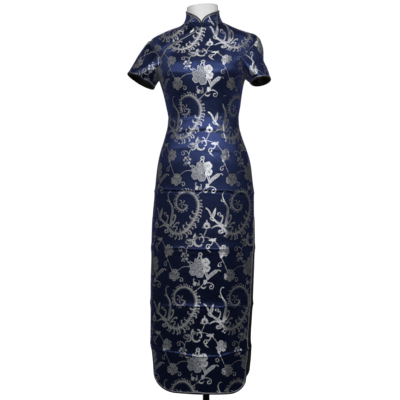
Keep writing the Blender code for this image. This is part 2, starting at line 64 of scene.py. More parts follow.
BUST_LEVEL, BUST_DEG, BUST_RISE = 1.1680, 34.0, 0.0100
BUST_HALF_HEIGHT, BUST_SPREAD = 0.058, 0.40
BACK_SAG = 0.4                  # a fold's sag behind, as a share of its sag in front

UNDERLAP = 0.0140               # how far the shoulder piece runs on under the front
UNDERLAP_CLEAR, UNDERLAP_STRETCH = 0.003, 1.30
TUCK_CLEAR, TUCK_FADE = 0.0012, 0.018
TUCK_ACROSS, TUCK_DOWN, TUCK_GAP = 0.2, 0.9, 0.0005   # the way it runs on, and its gap from the opening
TUCK_IN, TUCK_OUT, TUCK_UP = 0.12, 0.25, 0.25         # shares of the piece over which it comes and goes
NECK_CLEAR = 0.002              # angle from the shoulder piece to the shoulder's end at the neck
SLEEVE_BELLY, SLEEVE_ROUND, SLEEVE_LENGTH = 0.006, 0.40, 0.10
SLEEVE_OUT, SLEEVE_UP = 0.85, 0.55   # the way its head swells
SLEEVE_CLEAR = 0.005            # angle from its armhole to the panel's
SLEEVE_SPLIT, SLEEVE_START = 0.4995, 0.012   # half its turns, split under the arm, and its first share
COLLAR_HEIGHT, COLLAR_END, COLLAR_CORNER = 0.0450, 0.0130, 0.0520
COLLAR_GAP = 0.0045             # half the angle between the collar's front ends
COLLAR_ROUND = 0.060            # the neck's radius, which turns that angle into a length
COLLAR_TOP_HALF, COLLAR_TOP_DEPTHS = 0.0575, (0.0500, 0.0520)
COLLAR_TOP, COLLAR_BACK_DROP = 0.0452, 0.010   # the top above the foot in front, and how much lower behind
COLLAR_LIFT, COLLAR_BACK, COLLAR_HOLLOW = 0.0004, 0.001, 0.003   # above its seam, backwards, inwards

SMALL = 1e-4                    # step for a surface's slopes
ABOVE_ALL = 1.5                 # a level above the whole dress
FLOAT_RISE, GRAIN_RISE = 0.00012, 0.0001   # the relief of woven floats and of plain surfaces
HALF_ROUND, PAST = 1.62, 0.004  # how far a panel's flat map reaches round the figure and past its ends
FLAT_EDGE, FLAT_STEP = 0.01, 0.0008
FILL_MERGE, SHAPE_MERGE = 1e-9, 1e-6
SHAPE_REACH = 0.045             # shapes this far outside a cut are still laid on it
PANEL_COLUMNS, ROWS_APART, ROWS_AT_FOLDS, HEM_PATH = 61, 0.0056, 0.0017, 220
WAVER, FINE_WAVER = 0.0016, 0.0009
MEAN_RADIUS = 0.13              # turns an angle round the figure into a length
DART_DIP, DART_HALF, DART_RADIUS = 0.0010, 0.0016, 0.12
STITCH_SPACING, STITCH_LENGTH, STITCH_RADIUS = 0.0042, 0.0017, 0.00022
STITCHES_IN, STITCHES_OUT = 0.0068, 0.0001
BELOW_FOLD, ABOVE_FOLD = 0.007, 0.006   # the close rows reach this far past a pressed fold
SLIT_CLEAR = 0.004              # the hem's binding ends this far below the slit's top
OPENING_BOUND = 0.965           # share of the opening that is bound
WHOLE, MIDDLE, BEYOND = "whole", "middle", "beyond"   # parts of a flat cut, for its darts

# where the woven repeat lies on each piece's flat cut, across and up
PLACES = {
    "front_panel": (0.005, 0.520), "back_panel": (-0.030, 0.600), "front_underlap": (-0.050, 0.640),
    "sleeve_right": (-0.020, 0.010), "sleeve_left": (0.020, 0.010), "collar": (0.146, 0.119),
}

# level, half width towards -X, half width towards +X, depth in front, depth behind
SECTIONS = (
    (0.089, 0.1737, 0.1590, 0.078, 0.074),
    (0.155, 0.1750, 0.1590, 0.081, 0.077),
    (0.217, 0.1800, 0.1632, 0.084, 0.080),
    (0.259, 0.1848, 0.1622, 0.086, 0.082),
    (0.362, 0.1840, 0.1672, 0.091, 0.087),
    (0.445, 0.1840, 0.1708, 0.095, 0.092),
    (0.528, 0.1818, 0.1738, 0.099, 0.097),
    (0.611, 0.1806, 0.1756, 0.104, 0.103),
    (0.694, 0.1772, 0.1744, 0.109, 0.110),
    (0.756, 0.1712, 0.1738, 0.113, 0.115),
    (0.818, 0.1658, 0.1682, 0.115, 0.117),
    (0.860, 0.1606, 0.1634, 0.114, 0.115),
    (0.900, 0.1525, 0.1535, 0.110, 0.109),
    (0.942, 0.1398, 0.1384, 0.104, 0.099),
    (0.983, 0.1274, 0.1246, 0.098, 0.089),
    (1.025, 0.1234, 0.1216, 0.095, 0.083),
    (1.066, 0.1306, 0.1276, 0.100, 0.085),
    (1.107, 0.1400, 0.1330, 0.109, 0.091),
    (1.150, 0.1530, 0.1415, 0.116, 0.097),
    (1.190, 0.1640, 0.1560, 0.115, 0.100),
    (1.220, 0.1710, 0.1700, 0.110, 0.100),
    (1.250, 0.1780, 0.1790, 0.102, 0.099),
    (1.280, 0.1880, 0.1845, 0.093, 0.095),
    (1.300, 0.1825, 0.1860, 0.086, 0.090),
    (1.309, 0.1710, 0.1790, 0.082, 0.087),
    (1.318, 0.1530, 0.1510, 0.078, 0.083),
    (1.330, 0.1250, 0.1170, 0.072, 0.077),
    (1.345, 0.0810, 0.0850, 0.065, 0.067),
    (1.354, 0.0695, 0.0655, 0.060, 0.060),
)

# how far each panel's slit edge stands in from the section's full width, in X:
# level, front towards -X, front towards +X, back towards -X, back towards +X
SLIT_TRIM = (
    (0.089, 0.0000, 0.0090, 0.0060, 0.0000),
    (0.155, 0.0000, 0.0090, 0.0060, 0.0000),
    (0.240, 0.0000, 0.0060, 0.0050, 0.0000),
    (0.400, 0.0000, 0.0040, 0.0035, 0.0000),
    (0.569, 0.0000, 0.0025, 0.0020, 0.0000),
    (0.690, 0.0000, 0.0000, 0.0000, 0.0000),
)

TRIM_COLUMN = {("front", -1): 0, ("front", 1): 1, ("back", -1): 2, ("back", 1): 3}

# rounded hem corners: panel and side, radius in X, radius in Z
HEM_CORNERS = {
    ("front", -1): (0.084, 0.064),
    ("front", 1): (0.052, 0.046),
    ("back", -1): (0.084, 0.064),
    ("back", 1): (0.100, 0.078),
}

# the edge from the middle of the armhole to the front of the collar: share of its length, angle, level
OPENING = (
    (0.30, -38.6, 1.2790),
    (0.62, -27.6, 1.3120),
    (0.90, -12.0, 1.3495),
    (1.00, -0.8, 1.3540),
)

# where the cloth was folded for keeping: level, rise, half height of the ridge, sag at the middle
FOLDS = (
    (0.238, 0.0020, 0.014, -0.020),
    (0.386, 0.0022, 0.014, 0.000),
    (0.577, 0.0018, 0.014, 0.004),
    (0.770, 0.0014, 0.014, 0.010),
    (0.972, 0.0014, 0.014, 0.004),
    (1.168, 0.0016, 0.014, 0.000),
)

# sleeves: armhole to cuff, the cuff's ring, and the swell of the sleeve's head along its length
SLEEVES = {
    "right": {   # the wearer's right, on the -X side; stands out stiffly
        "side": -1,
        "outer": (-0.2665, 1.1775),     # the cuff's outer end in X and Z
        "inner": (-0.1760, 1.1335),     # the cuff's inner end
        "half_depth": 0.0700,
        "front_lift": 0.0090,
        "depth_at": 0.0080,
        "swell": ((0.00, 0.000), (0.08, 0.0065), (0.22, 0.0078),
                  (0.45, 0.007), (0.75, 0.003), (1.00, 0.000)),
    },
    "left": {    # the wearer's left, on the +X side; hangs steeper, with a kink
        "side": 1,
        "outer": (0.2315, 1.1555),
        "inner": (0.1640, 1.1400),
        "half_depth": 0.0760,
        "front_lift": 0.0030,
        "depth_at": 0.0080,
        "swell": ((0.00, 0.000), (0.12, 0.008), (0.28, 0.009),
                  (0.58, -0.003), (0.80, 0.001), (1.00, 0.000)),
    },
}


# ---- curves through tables
def table_curve(table):
    """A smooth curve through a table's rows that never overshoots them."""
    rows = np.array(sorted(table), dtype=float)
    knots, values = rows[:, 0], rows[:, 1:]
    step = np.diff(knots)[:, None]
    slope = np.diff(values, axis=0) / step
    tangent = np.zeros_like(values)
    tangent[0], tangent[-1] = slope[0], slope[-1]
    same_way = slope[:-1] * slope[1:] > 0
    total = np.where(same_way, slope[:-1] + slope[1:], 1.0)
    tangent[1:-1] = np.where(same_way, 2 * slope[:-1] * slope[1:] / total, 0.0)

    def at(where):
        where = np.clip(np.asarray(where, dtype=float), knots[0], knots[-1])
        row = np.clip(np.searchsorted(knots, where) - 1, 0, len(knots) - 2)
        share = ((where - knots[row]) / step[row, 0])[..., None]
        start, end = values[row], values[row + 1]
        lead, trail = tangent[row] * step[row], tangent[row + 1] * step[row]
        square, cube = share ** 2, share ** 3
        point = (2 * cube - 3 * square + 1) * start + (cube - 2 * square + share) * lead
        point = point + (3 * square - 2 * cube) * end + (cube - square) * trail
        return np.moveaxis(point, -1, 0)

    return at


def ease(share):
    share = np.clip(share, 0.0, 1.0)
    return share * share * (3 - 2 * share)


section_at = table_curve(SECTIONS)
trim_at = table_curve(SLIT_TRIM)


def half_width(side, level):
    return section_at(level)[1 if side > 0 else 0]


def trim_of(face, side, level):
    return trim_at(level)[TRIM_COLUMN[face, side]]


# ---- the figure
def lean(level):
    return ease((level - TILT_FROM) / (NECK - TILT_FROM))


def figure(angle, level):
    """Point of the figure that the cloth's outer face follows."""
    left, right, front, back = section_at(level)
    across, ahead = np.sin(angle), np.cos(angle)
    x = np.where(across >= 0, right, left) * across
    y = -np.where(ahead >= 0, front, back) * ahead
    up_share = np.exp(-((level - BUST_LEVEL) / BUST_HALF_HEIGHT) ** 2)
    for side in (-1, 1):
        off = (angle - side * math.radians(BUST_DEG)) / BUST_SPREAD
        y = y - BUST_RISE * up_share * np.exp(-off ** 2)
    z = level + lean(level) * (TILT * y + TILT_BEND * y * y)
    return np.stack([x, y + NECK_Y, z], axis=-1)


def slopes(surface, first, second):
    """How far a surface's point moves with each of its two parameters."""
    along = surface(first + SMALL, second) - surface(first - SMALL, second)
    up = surface(first, second + SMALL) - surface(first, second - SMALL)
    return along, up


def normal_of(surface, first, second):
    cross = np.cross(*slopes(surface, first, second))
    return cross / np.linalg.norm(cross, axis=-1, keepdims=True)


def raised(surface, first, second, rise):
    """Points of a surface, moved out along its normal."""
    return surface(first, second) + normal_of(surface, first, second) * np.asarray(rise)[..., None]


def both(first, second):
    """Two parameters as arrays of one shape."""
    return np.broadcast_arrays(np.asarray(first, float), np.asarray(second, float))


def fold_middle(angle, level, sag):
    """Level of a fold round the figure: it sags in front and less behind."""
    return level + sag * np.cos(angle) ** 2 * np.where(np.cos(angle) > 0, 1.0, BACK_SAG)


def fold_rise(angle, level):
    rise = np.zeros(np.broadcast(angle, level).shape)
    for fold_level, height, half, sag in FOLDS:
        rise = rise + height * np.exp(-((level - fold_middle(angle, fold_level, sag)) / half) ** 2)
    return rise


def cloth(angle, level):
    """The outer face of the cloth: the figure with its fold ridges."""
    angle, level = both(angle, level)
    return raised(figure, angle, level, fold_rise(angle, level))


# ---- the edges of the panels
def side_angle(face, side, level, rounded=True):
    """A panel's edge below the underarm: the side seam, and under it the slit's edge."""
    radius_x, radius_z = HEM_CORNERS[face, side]
    over = np.clip(1 - (level - HEM) / radius_z, 0.0, 1.0)
    corner = radius_x * (1 - np.sqrt(1 - over ** 2)) * rounded
    half = half_width(side, level)
    gap = 0.5 * SEAM_GAP / section_at(level)[2]
    return side * (np.arcsin(np.clip((half - trim_of(face, side, level) - corner) / half, -1, 1)) - gap)


def armhole_shares():
    """Shares of the armhole at its rows, closer together at both ends; the middle one meets the opening."""
    return 0.5 - 0.5 * np.cos(math.pi * np.arange(ARMHOLE_ROWS + 1) / ARMHOLE_ROWS)


def armhole(face, side, share):
    """Angle and level on an armhole's edge, from the underarm to the shoulder's tip."""
    level = UNDERARM + (SHOULDER_TIP[side] - UNDERARM) * share
    cut = math.radians(ARMHOLE_DEG[face]) * np.sin(math.pi * share ** ARMHOLE_POWER)
    return side * (math.pi / 2 - cut - 0.5 * SEAM_GAP / ARMHOLE_DEPTH), level


def opening_start():
    angle, level = armhole("front", -1, 0.5)
    return (0.0, math.degrees(angle), float(level))


opening_at = table_curve((opening_start(),) + OPENING)


def shoulder(side, share):
    level = SHOULDER_TIP[side] + (NECK - SHOULDER_TIP[side]) * share
    return side * (math.pi / 2 - 0.5 * SEAM_GAP / SHOULDER_DEPTH) * np.ones_like(level), level


def row_levels():
    """Levels of a panel's rows up to the underarm, close together at the fold ridges."""
    levels = [HEM + step for step in HEM_ROWS]

    def rows_up_to(stop):
        last = levels[-1]
        count = max(1, round((stop - last) / ROW_HEIGHT))
        levels.extend(last + (stop - last) * (k + 1) / count for k in range(count))

    for fold_level, *_ in FOLDS:
        if fold_level < UNDERARM - 0.03:
            rows_up_to(fold_level - FOLD_ROW)
            levels.extend((fold_level, fold_level + FOLD_ROW))
    rows_up_to(UNDERARM)
    return np.array(levels)


LOWER = row_levels()


def side_boundary(face, side):
    """Angle and level at the end of each row above the underarm, up a whole side of a panel."""
    arm = armhole(face, side, armhole_shares()[1:])
    top = shoulder(side, np.arange(1, SHOULDER_ROWS + 1) / SHOULDER_ROWS)
    return np.concatenate([arm, top], axis=1)


def opening_boundary():
    """The front panel's other side: the armhole to its middle, then the opening to the collar."""
    low = ARMHOLE_ROWS // 2
    rest = ARMHOLE_ROWS - low + SHOULDER_ROWS
    arm = armhole("front", -1, armhole_shares()[1:low + 1])
    degrees, level = opening_at(np.arange(1, rest + 1) / rest)
    return np.concatenate([arm, (np.radians(degrees), level)], axis=1)


def lower_rows(face, share):
    """Angles and levels of the rows up to the underarm, drawn in round the hem's two corners."""
    left_full, right_full = (side_angle(face, side, LOWER, rounded=False) for side in (-1, 1))
    angle = left_full[:, None] * (1 - share) + right_full[:, None] * share
    level = np.repeat(LOWER[:, None], len(share), axis=1)
    fade = 1 - ease((LOWER - HEM) / CORNER_FADE)
    for side in (-1, 1):
        radius_x, radius_z = HEM_CORNERS[face, side]
        column = -1 if side > 0 else 0
        near = np.clip((side * (2 * share - 1) - 0.25) / 0.75, 0, 1) ** 1.5
        half = float(half_width(side, HEM))
        trim = trim_of(face, side, HEM)
        end = half - trim - (1 - math.sqrt(0.5)) * radius_x
        low_angle = angle[0] + side * (math.asin(end / half) - abs(angle[0, column])) * near
        from_edge = half - trim - half * np.sin(np.clip(side * low_angle, 0, math.pi / 2))
        over = np.clip(1 - from_edge / radius_x, 0, 1)
        lift = radius_z * (1 - np.sqrt(1 - over ** 2))
        level = level + fade[:, None] * lift[None, :]
        edge_level = level[:, column]
        drawn_in = side_angle(face, side, edge_level) - side_angle(face, side, edge_level, rounded=False)
        angle = angle + drawn_in[:, None] * near[None, :]
    return angle, level


def panel_grid(face, left_boundary, right_boundary):
    """Angles and levels of a whole panel, a row of them for each level."""
    share = np.linspace(0, 1, COLUMNS + 1)
    upper = left_boundary[:, :, None] * (1 - share) + right_boundary[:, :, None] * share
    return [np.concatenate(rows) for rows in zip(lower_rows(face, share), upper)]


# ---- sleeves and collar
def armhole_ring(side, turn):
    """The closed armhole: turn 0 at the shoulder's tip, a quarter in front, a half at the underarm."""
    turn = np.mod(turn, 1.0)
    share = 0.5 + 0.5 * np.cos(2 * math.pi * turn)
    height = SHOULDER_TIP[side] - UNDERARM - 2 * ARMHOLE_CLEAR
    level = UNDERARM + ARMHOLE_CLEAR + height * share
    bump = np.sin(math.pi * share ** ARMHOLE_POWER)
    cut_front, cut_back = ((math.radians(ARMHOLE_DEG[face]) - SLEEVE_CLEAR) * bump
                           for face in ("front", "back"))
    return cloth(side * np.where(turn < 0.5, math.pi / 2 - cut_front, math.pi / 2 + cut_back), level)


def sleeve_surface(which):
    """A sleeve's outer face by turn round it and share of the way from armhole to cuff."""
    size = SLEEVES[which]
    side = size["side"]
    (outer_x, outer_z), (inner_x, inner_z) = size["outer"], size["inner"]
    swell_at = table_curve(size["swell"])
    middle = np.array([(outer_x + inner_x) / 2, size["depth_at"], (outer_z + inner_z) / 2])
    upward = np.array([(outer_x - inner_x) / 2, 0.0, (outer_z - inner_z) / 2])
    forward = np.array([0.0, -size["half_depth"], size["front_lift"]])

    def surface(turn, share):
        turn, share = both(turn, share)
        around = 2 * math.pi * turn
        cuff = middle + np.cos(around)[..., None] * upward + np.sin(around)[..., None] * forward
        way = share[..., None]
        head = np.maximum(np.cos(around), 0.0) ** 0.8 * swell_at(share)[0]
        belly = SLEEVE_BELLY * np.sin(math.pi * np.clip(share, 0, 1)) * np.sin(around) ** 2
        point = (1 - way) * armhole_ring(side, turn) + way * cuff
        point = point + head[..., None] * np.array([side * SLEEVE_OUT, 0.0, SLEEVE_UP])
        point[..., 1] -= belly * np.sign(np.sin(around))
        return point

    return surface


def collar_edge(angle):
    """Height of the collar's free edge, its front ends rounded off; the angle may run on past the back."""
    angle = np.where(angle > math.pi, angle - 2 * math.pi, angle)
    over = np.clip(1 - np.abs(angle) * COLLAR_ROUND / COLLAR_CORNER, 0, 1)
    drop = 1 - np.sqrt(1 - over ** 2.2)
    return COLLAR_HEIGHT - (COLLAR_HEIGHT - COLLAR_END) * drop


def collar_surface(angle, height):
    """The collar's outer face: angle round the neck, height of cloth above its foot."""
    angle, height = both(angle, height)
    angle = np.where(angle > math.pi, angle - 2 * math.pi, angle)
    foot = figure(angle, np.full(angle.shape, NECK))
    foot[..., 2] += SEAM_GAP + COLLAR_LIFT
    depth = np.where(np.cos(angle) > 0, *COLLAR_TOP_DEPTHS)
    top_x = NECK_X + COLLAR_TOP_HALF * np.sin(angle)
    top = np.stack([top_x, NECK_Y - COLLAR_BACK - depth * np.cos(angle), foot[..., 2]], axis=-1)
    top[..., 2] += COLLAR_TOP - COLLAR_BACK_DROP * (0.5 - 0.5 * np.cos(angle))
    share = (height / COLLAR_HEIGHT)[..., None]
    point = foot + (top - foot) * share
    point[..., :2] *= 1 - COLLAR_HOLLOW / COLLAR_ROUND * np.sin(math.pi * np.clip(share, 0, 1))
    return point


def underlap_point(along, up):
    """Angle and level on the shoulder piece: share along the opening, share up from it."""
    def opening(share):
        degrees, level = opening_at(share)
        return np.stack([np.radians(degrees), level])

    def top(share):
        angle, level = shoulder(-1, share)
        return np.stack([angle + UNDERLAP_CLEAR, level])

    def arm(share):
        angle, level = armhole("front", -1, 0.5 + 0.5 * share)
        return np.stack([angle + UNDERLAP_CLEAR * share, level])

    def neckline(share):
        share = np.arcsin(share) / (math.pi / 2)
        angle = math.radians(OPENING[-1][1]) * (1 - share) - (math.pi / 2 - NECK_CLEAR) * share
        return np.stack([angle, NECK * np.ones_like(share)])

    nil, one = np.zeros_like(along), np.ones_like(along)
    corners = (1 - along) * (1 - up) * opening(nil) + along * (1 - up) * opening(one)
    corners = corners + (1 - along) * up * top(nil) + along * up * top(one)
    lengthways = (1 - up) * opening(along) + up * top(along)
    return lengthways + (1 - along) * arm(up) + along * neckline(up) - corners


# ---- the cloth's own creases
# fine folds pressed in while the dress lay packed: level, rise, half height, sag at the middle,
# fall towards the wearer's left, and the angles in degrees the fold shows between on the front
PRESSED = (
    (0.243, 0.0032, 0.0028, -0.024, 0.003, -90.0, 90.0),
    (0.386, 0.0032, 0.0026, 0.001, 0.000, -48.0, 72.0),
    (0.577, 0.0026, 0.0026, 0.003, 0.001, -36.0, 22.0),
    (0.768, 0.0034, 0.0027, 0.008, 0.005, -90.0, 90.0),
    (0.972, 0.0021, 0.0026, 0.003, 0.000, -34.0, 26.0),
)

# soft troughs and ridges: angle in degrees, level, length, half width, height, slope from level in degrees
SOFT_CREASES = (
    (50.0, 0.360, 0.600, 0.0450, -0.0070, 90.0),
    (31.0, 0.420, 0.620, 0.0180, 0.0045, 90.5),
    (-7.0, 0.300, 0.420, 0.0180, 0.0035, 91.0),
    (-62.0, 1.120, 0.070, 0.0060, -0.0018, 42.0),
    (-55.0, 1.098, 0.055, 0.0050, -0.0014, 30.0),
    (60.0, 1.125, 0.075, 0.0060, -0.0020, -40.0),
    (50.0, 1.100, 0.050, 0.0050, -0.0013, -28.0),
    (-20.0, 1.022, 0.090, 0.0060, -0.0012, 4.0),
    (38.0, 1.008, 0.080, 0.0055, -0.0014, -8.0),
    (-48.0, 0.990, 0.070, 0.0060, -0.0014, 12.0),
    (70.0, 1.030, 0.060, 0.0050, -0.0016, -14.0),
    (-74.0, 1.030, 0.060, 0.0050, -0.0016, 10.0),
    (-30.0, 0.915, 0.110, 0.0080, 0.0012, 6.0),
    (34.0, 0.905, 0.120, 0.0080, 0.0012, -10.0),
    (-52.0, 0.700, 0.160, 0.0120, 0.0018, 78.0),
    (46.0, 0.660, 0.200, 0.0120, 0.0018, 100.0),
    (18.0, 0.480, 0.220, 0.0140, 0.0016, 92.0),
    (-26.0, 0.430, 0.240, 0.0140, 0.0014, 86.0),
    (58.0, 0.330, 0.220, 0.0120, 0.0018, 97.0),
    (-60.0, 0.300, 0.200, 0.0120, 0.0016, 84.0),
    (4.0, 0.190, 0.150, 0.0120, 0.0014, 88.0),
    (150.0, 1.020, 0.090, 0.0060, -0.0014, 6.0),
    (-155.0, 1.005, 0.100, 0.0060, -0.0014, -8.0),
    (178.0, 0.985, 0.080, 0.0055, -0.0012, 2.0),
    (140.0, 0.640, 0.190, 0.0120, 0.0018, 82.0),
    (-142.0, 0.600, 0.210, 0.0120, 0.0018, 96.0),
    (170.0, 0.420, 0.240, 0.0140, 0.0016, 90.0),
    (-120.0, 0.320, 0.200, 0.0120, 0.0016, 95.0),
    (125.0, 0.280, 0.200, 0.0120, 0.0016, 85.0),
)

# waist darts: panel, side, angle in degrees, lower end, upper end, cloth taken in
DARTS = {
    "front": ((-1, 30.0, 0.905, 1.105, 0.0100), (1, 36.0, 0.860, 1.105, 0.0150)),
    "back": ((-1, 27.0, 0.850, 1.090, 0.0120), (1, 27.0, 0.850, 1.090, 0.0120)),
}


def turn_from(angle, middle):
    """How far round an angle lies from another, between a half turn back and a half turn on."""
    return (angle - middle + math.pi) % (2 * math.pi) - math.pi


def crease(across, up, length, half, height, slope):
    """Rise of one soft trough or ridge at distances across and up from its middle."""
    turn = math.radians(slope)
    along = across * math.cos(turn) + up * math.sin(turn)
    away = -across * math.sin(turn) + up * math.cos(turn)
    return height * np.exp(-(away / half) ** 2) * np.exp(-(along / (0.5 * length)) ** 2)


def pressed_rise(angle, level, fold_level, height, half, sag, fall, first, last):
    """Rise of one pressed fold: a fine ridge that wavers and fades in places, and a dip under it."""
    wavers = WAVER * np.sin(5.3 * angle + 40 * fold_level) + FINE_WAVER * np.sin(13 * angle)
    middle = fold_middle(angle, fold_level, sag) - fall * np.sin(angle) + wavers
    degrees, ahead = np.degrees(angle), np.cos(angle)
    shown = 0.5 * (np.tanh((degrees - first) / 4) - np.tanh((degrees - last) / 4))
    strength = (0.85 + 0.25 * np.sin(3.1 * angle + 70 * fold_level)) * np.where(ahead > 0.05, shown, 0.8)
    strength = strength * (0.25 + 0.75 * ease(np.abs(ahead) / 0.30))
    off = level - middle
    dip = 0.5 * np.exp(-((off + 2.6 * half) / (1.4 * half)) ** 2)
    return strength * height * (np.exp(-(off / half) ** 2) - dip)


def fine_rise(angle, level):
    rise = fold_rise(angle, level)
    for fold in PRESSED:
        rise = rise + pressed_rise(angle, level, *fold)
    for degrees, at_level, *form in SOFT_CREASES:
        across = turn_from(angle, math.radians(degrees)) * MEAN_RADIUS
        rise = rise + crease(across, level - at_level, *form)
    for face, darts in DARTS.items():
        for side, degrees, low, high, _ in darts:
            where = side * math.radians(degrees)
            off = turn_from(angle, where if face == "front" else math.pi - where)
            reach = np.clip(1 - np.abs((level - 0.5 * (low + high)) / (0.5 * (high - low))) ** 4, 0, 1)
            rise = rise - DART_DIP * reach * np.exp(-(off * DART_RADIUS / DART_HALF) ** 2)
    return rise


def front_cloth(angle, level):
    angle, level = both(angle, level)
    return raised(figure, angle, level, fine_rise(angle, level))


def from_behind(surface):
    """The same surface by an angle counted from the middle of the back, still towards +X."""
    return lambda angle, level: surface(math.pi - angle, level)


# ---- the woven pattern, drawn in millimetres
REPEAT = (0.190, 0.320)          # the repeat across and up the cloth, in metres
OFF_GRAIN = 0.028                # the front's figure leans this much a metre
GRAIN_LEVEL, GRAIN_TOP = 0.800, 0.950   # it leans about the first level and up to the second
GROUND, FIGURE, SOFT = 0, 1, 2   # blue ground, bright figure, half-tone figure
# a shape is a closed line of points and its tone; later shapes lie on earlier ones


def drawn(*groups):
    """Groups of shapes as one, in the order in which they lie on each other."""
    return [shape for group in groups for shape in group]


def offset(x, y, *points):
    return [(x + a, y + b) for a, b in points]


def turns(count):
    """Angles evenly spaced once round."""
    return np.arange(count) * 2 * math.pi / count


def at_share(values, share):
    """A value between evenly spaced ones, at a share of the way along them."""
    return np.interp(share, np.linspace(0, 1, len(values)), values)


def curve_through(points, steps=5):
    """A smooth line through control points."""
    points = np.asarray(points, float)
    line = []
    for k in range(len(points) - 1):
        before, here = points[max(k - 1, 0)], points[k]
        after, later = points[k + 1], points[min(k + 2, len(points) - 1)]
        for share in np.arange(steps) / steps:
            square, cube = share ** 2, share ** 3
            line.append(0.5 * (2 * here + (after - before) * share
                               + (2 * before - 5 * here + 4 * after - later) * square
                               + (3 * here - before - 3 * after + later) * cube))
    line.append(points[-1])
    return np.array(line)


def run_of(line):
    """Length along a line up to each of its points."""
    return np.concatenate([[0], np.cumsum(np.linalg.norm(np.diff(line, axis=0), axis=1))])


def point_at(line, run, where):
    return np.stack([np.interp(where, run, line[:, axis]) for axis in (0, 1)], axis=-1)


def sides_of(line):
    """Unit steps along a line and to its left."""
    along = np.gradient(line, axis=0)
    along /= np.maximum(np.linalg.norm(along, axis=1, keepdims=True), 1e-9)
    return along, np.stack([-along[:, 1], along[:, 0]], axis=1)


def ribbon(points, widths, tone=FIGURE, steps=3):
    """A band that follows a smooth line, its width changing along it."""
    line = curve_through(points, steps)
    _, aside = sides_of(line)
    width = at_share(widths, np.linspace(0, 1, len(line)))[:, None] / 2
    return [(np.concatenate([line + aside * width, (line - aside * width)[::-1]]), tone)]


def bead(x, y, radius, tone=FIGURE, count=8):
    return [(np.stack([x + radius * np.cos(turns(count)), y + radius * np.sin(turns(count))], axis=1), tone)]


def curl(x, y, radius, start, wound, width=2.0, tone=FIGURE):
    """A tendril's end that winds inwards about x, y from a start angle in degrees."""
    share = np.linspace(0, 1, max(8, int(abs(wound) * 12)))
    turn = math.radians(start) + 2 * math.pi * wound * share
    away = radius * (1 - 0.70 * share)
    line = np.stack([x + away * np.cos(turn), y + away * np.sin(turn)], axis=1)
    return ribbon(line, (0.8 * width, width, 1.2 * width, 1.5 * width), tone, 1)


def tendril(points, x, y, radius, start, wound, width=1.9):
    """A stem that ends in a curl."""
    turn = math.radians(start)
    joined = list(points) + [(x + radius * math.cos(turn), y + radius * math.sin(turn))]
    return drawn(ribbon(joined, (width, width)), curl(x, y, radius, start, wound, width))


def along_of(x, y, degrees, away, aside=0.0):
    """The point that lies some way off in a direction, and to the left of it."""
    ahead, left = math.cos(math.radians(degrees)), math.sin(math.radians(degrees))
    return (x + away * ahead - aside * left, y + away * left + aside * ahead)


BLADE = ((0.0, 0.12), (0.25, 0.42), (0.50, 0.50), (0.78, 0.28), (1.0, 0.0),
         (0.78, -0.28), (0.50, -0.50), (0.25, -0.42), (0.0, -0.12))
HOOK = ((0.0, -0.13), (0.35, -0.13), (0.68, -0.05), (0.90, 0.11), (1.0, 0.31), (0.94, 0.49), (0.77, 0.54),
        (0.70, 0.43), (0.81, 0.38), (0.79, 0.27), (0.68, 0.16), (0.45, 0.07), (0.22, 0.08), (0.0, 0.13))


def blade(x, y, degrees, length, width, bend=0.0, tone=FIGURE):
    """A pointed leaf, its tip bent aside."""
    return [(np.array([along_of(x, y, degrees, along * length, aside * width + bend * along ** 2 * length)
                       for along, aside in BLADE]), tone)]


def hook(x, y, degrees, length, bend, tone=FIGURE, stout=1.0):
    """A flame-shaped spur, its tip rolled over to the side that bend gives, 1 or -1."""
    return [(np.array([along_of(x, y, degrees, along * length, bend * aside * length * stout)
                       for along, aside in HOOK]), tone)]


def hooked(points, lengths, side, pitch, bend, lean_by, start, stout):
    """Spurs along one side of a line."""
    line = curve_through(points, 8)
    run = run_of(line)
    shapes = []
    for k in range(int(run[-1] / pitch)):
        where = (k + start) * pitch + 0.12 * pitch * math.sin(1.9 * k)
        here, ahead = point_at(line, run, where), point_at(line, run, where + 1)
        heading = math.degrees(math.atan2(ahead[1] - here[1], ahead[0] - here[0]))
        length = at_share(lengths, where / run[-1]) * (1 + 0.15 * math.sin(2.9 * k + 1))
        turned = heading + side * (lean_by + 9 * math.sin(2.3 * k))
        shapes += hook(*here, turned, length, bend, FIGURE, stout)
    return shapes


def comb(points, widths, teeth, pitch=3.4, lean_by=3.6):
    """A feather's rib with slender leaning barbs along both its edges."""
    line = curve_through(points, 8)
    run = run_of(line)
    count = int(run[-1] / pitch)
    line = point_at(line, run, np.linspace(0, run[-1], count))
    along, aside = sides_of(line)
    width, tooth = (at_share(values, np.linspace(0, 1, count))[:, None] for values in (widths, teeth))
    edges = []
    for hand in (1, -1):
        uneven = (1 + 0.30 * np.sin(2.3 * np.arange(count) + hand))[:, None]
        base = line + hand * aside * (width / 2)
        tip = base + hand * aside * tooth * uneven + along * lean_by * uneven
        step = 0.26 * pitch * along
        edges.append(np.stack([base - step, tip, base + step], axis=1).reshape(-1, 2))
    return [(np.concatenate([edges[0], edges[1][::-1]]), FIGURE)]


def edged(edge, *groups):
    """Each shape over a slightly larger one of the ground, which parts it from what lies under it."""
    shapes = []
    for points, tone in drawn(*groups):
        middle = points.mean(axis=0)
        away = points - middle
        length = np.linalg.norm(away, axis=1, keepdims=True)
        shapes += [(middle + away * (1 + edge / np.maximum(length, 1e-6)), GROUND), (points, tone)]
    return shapes


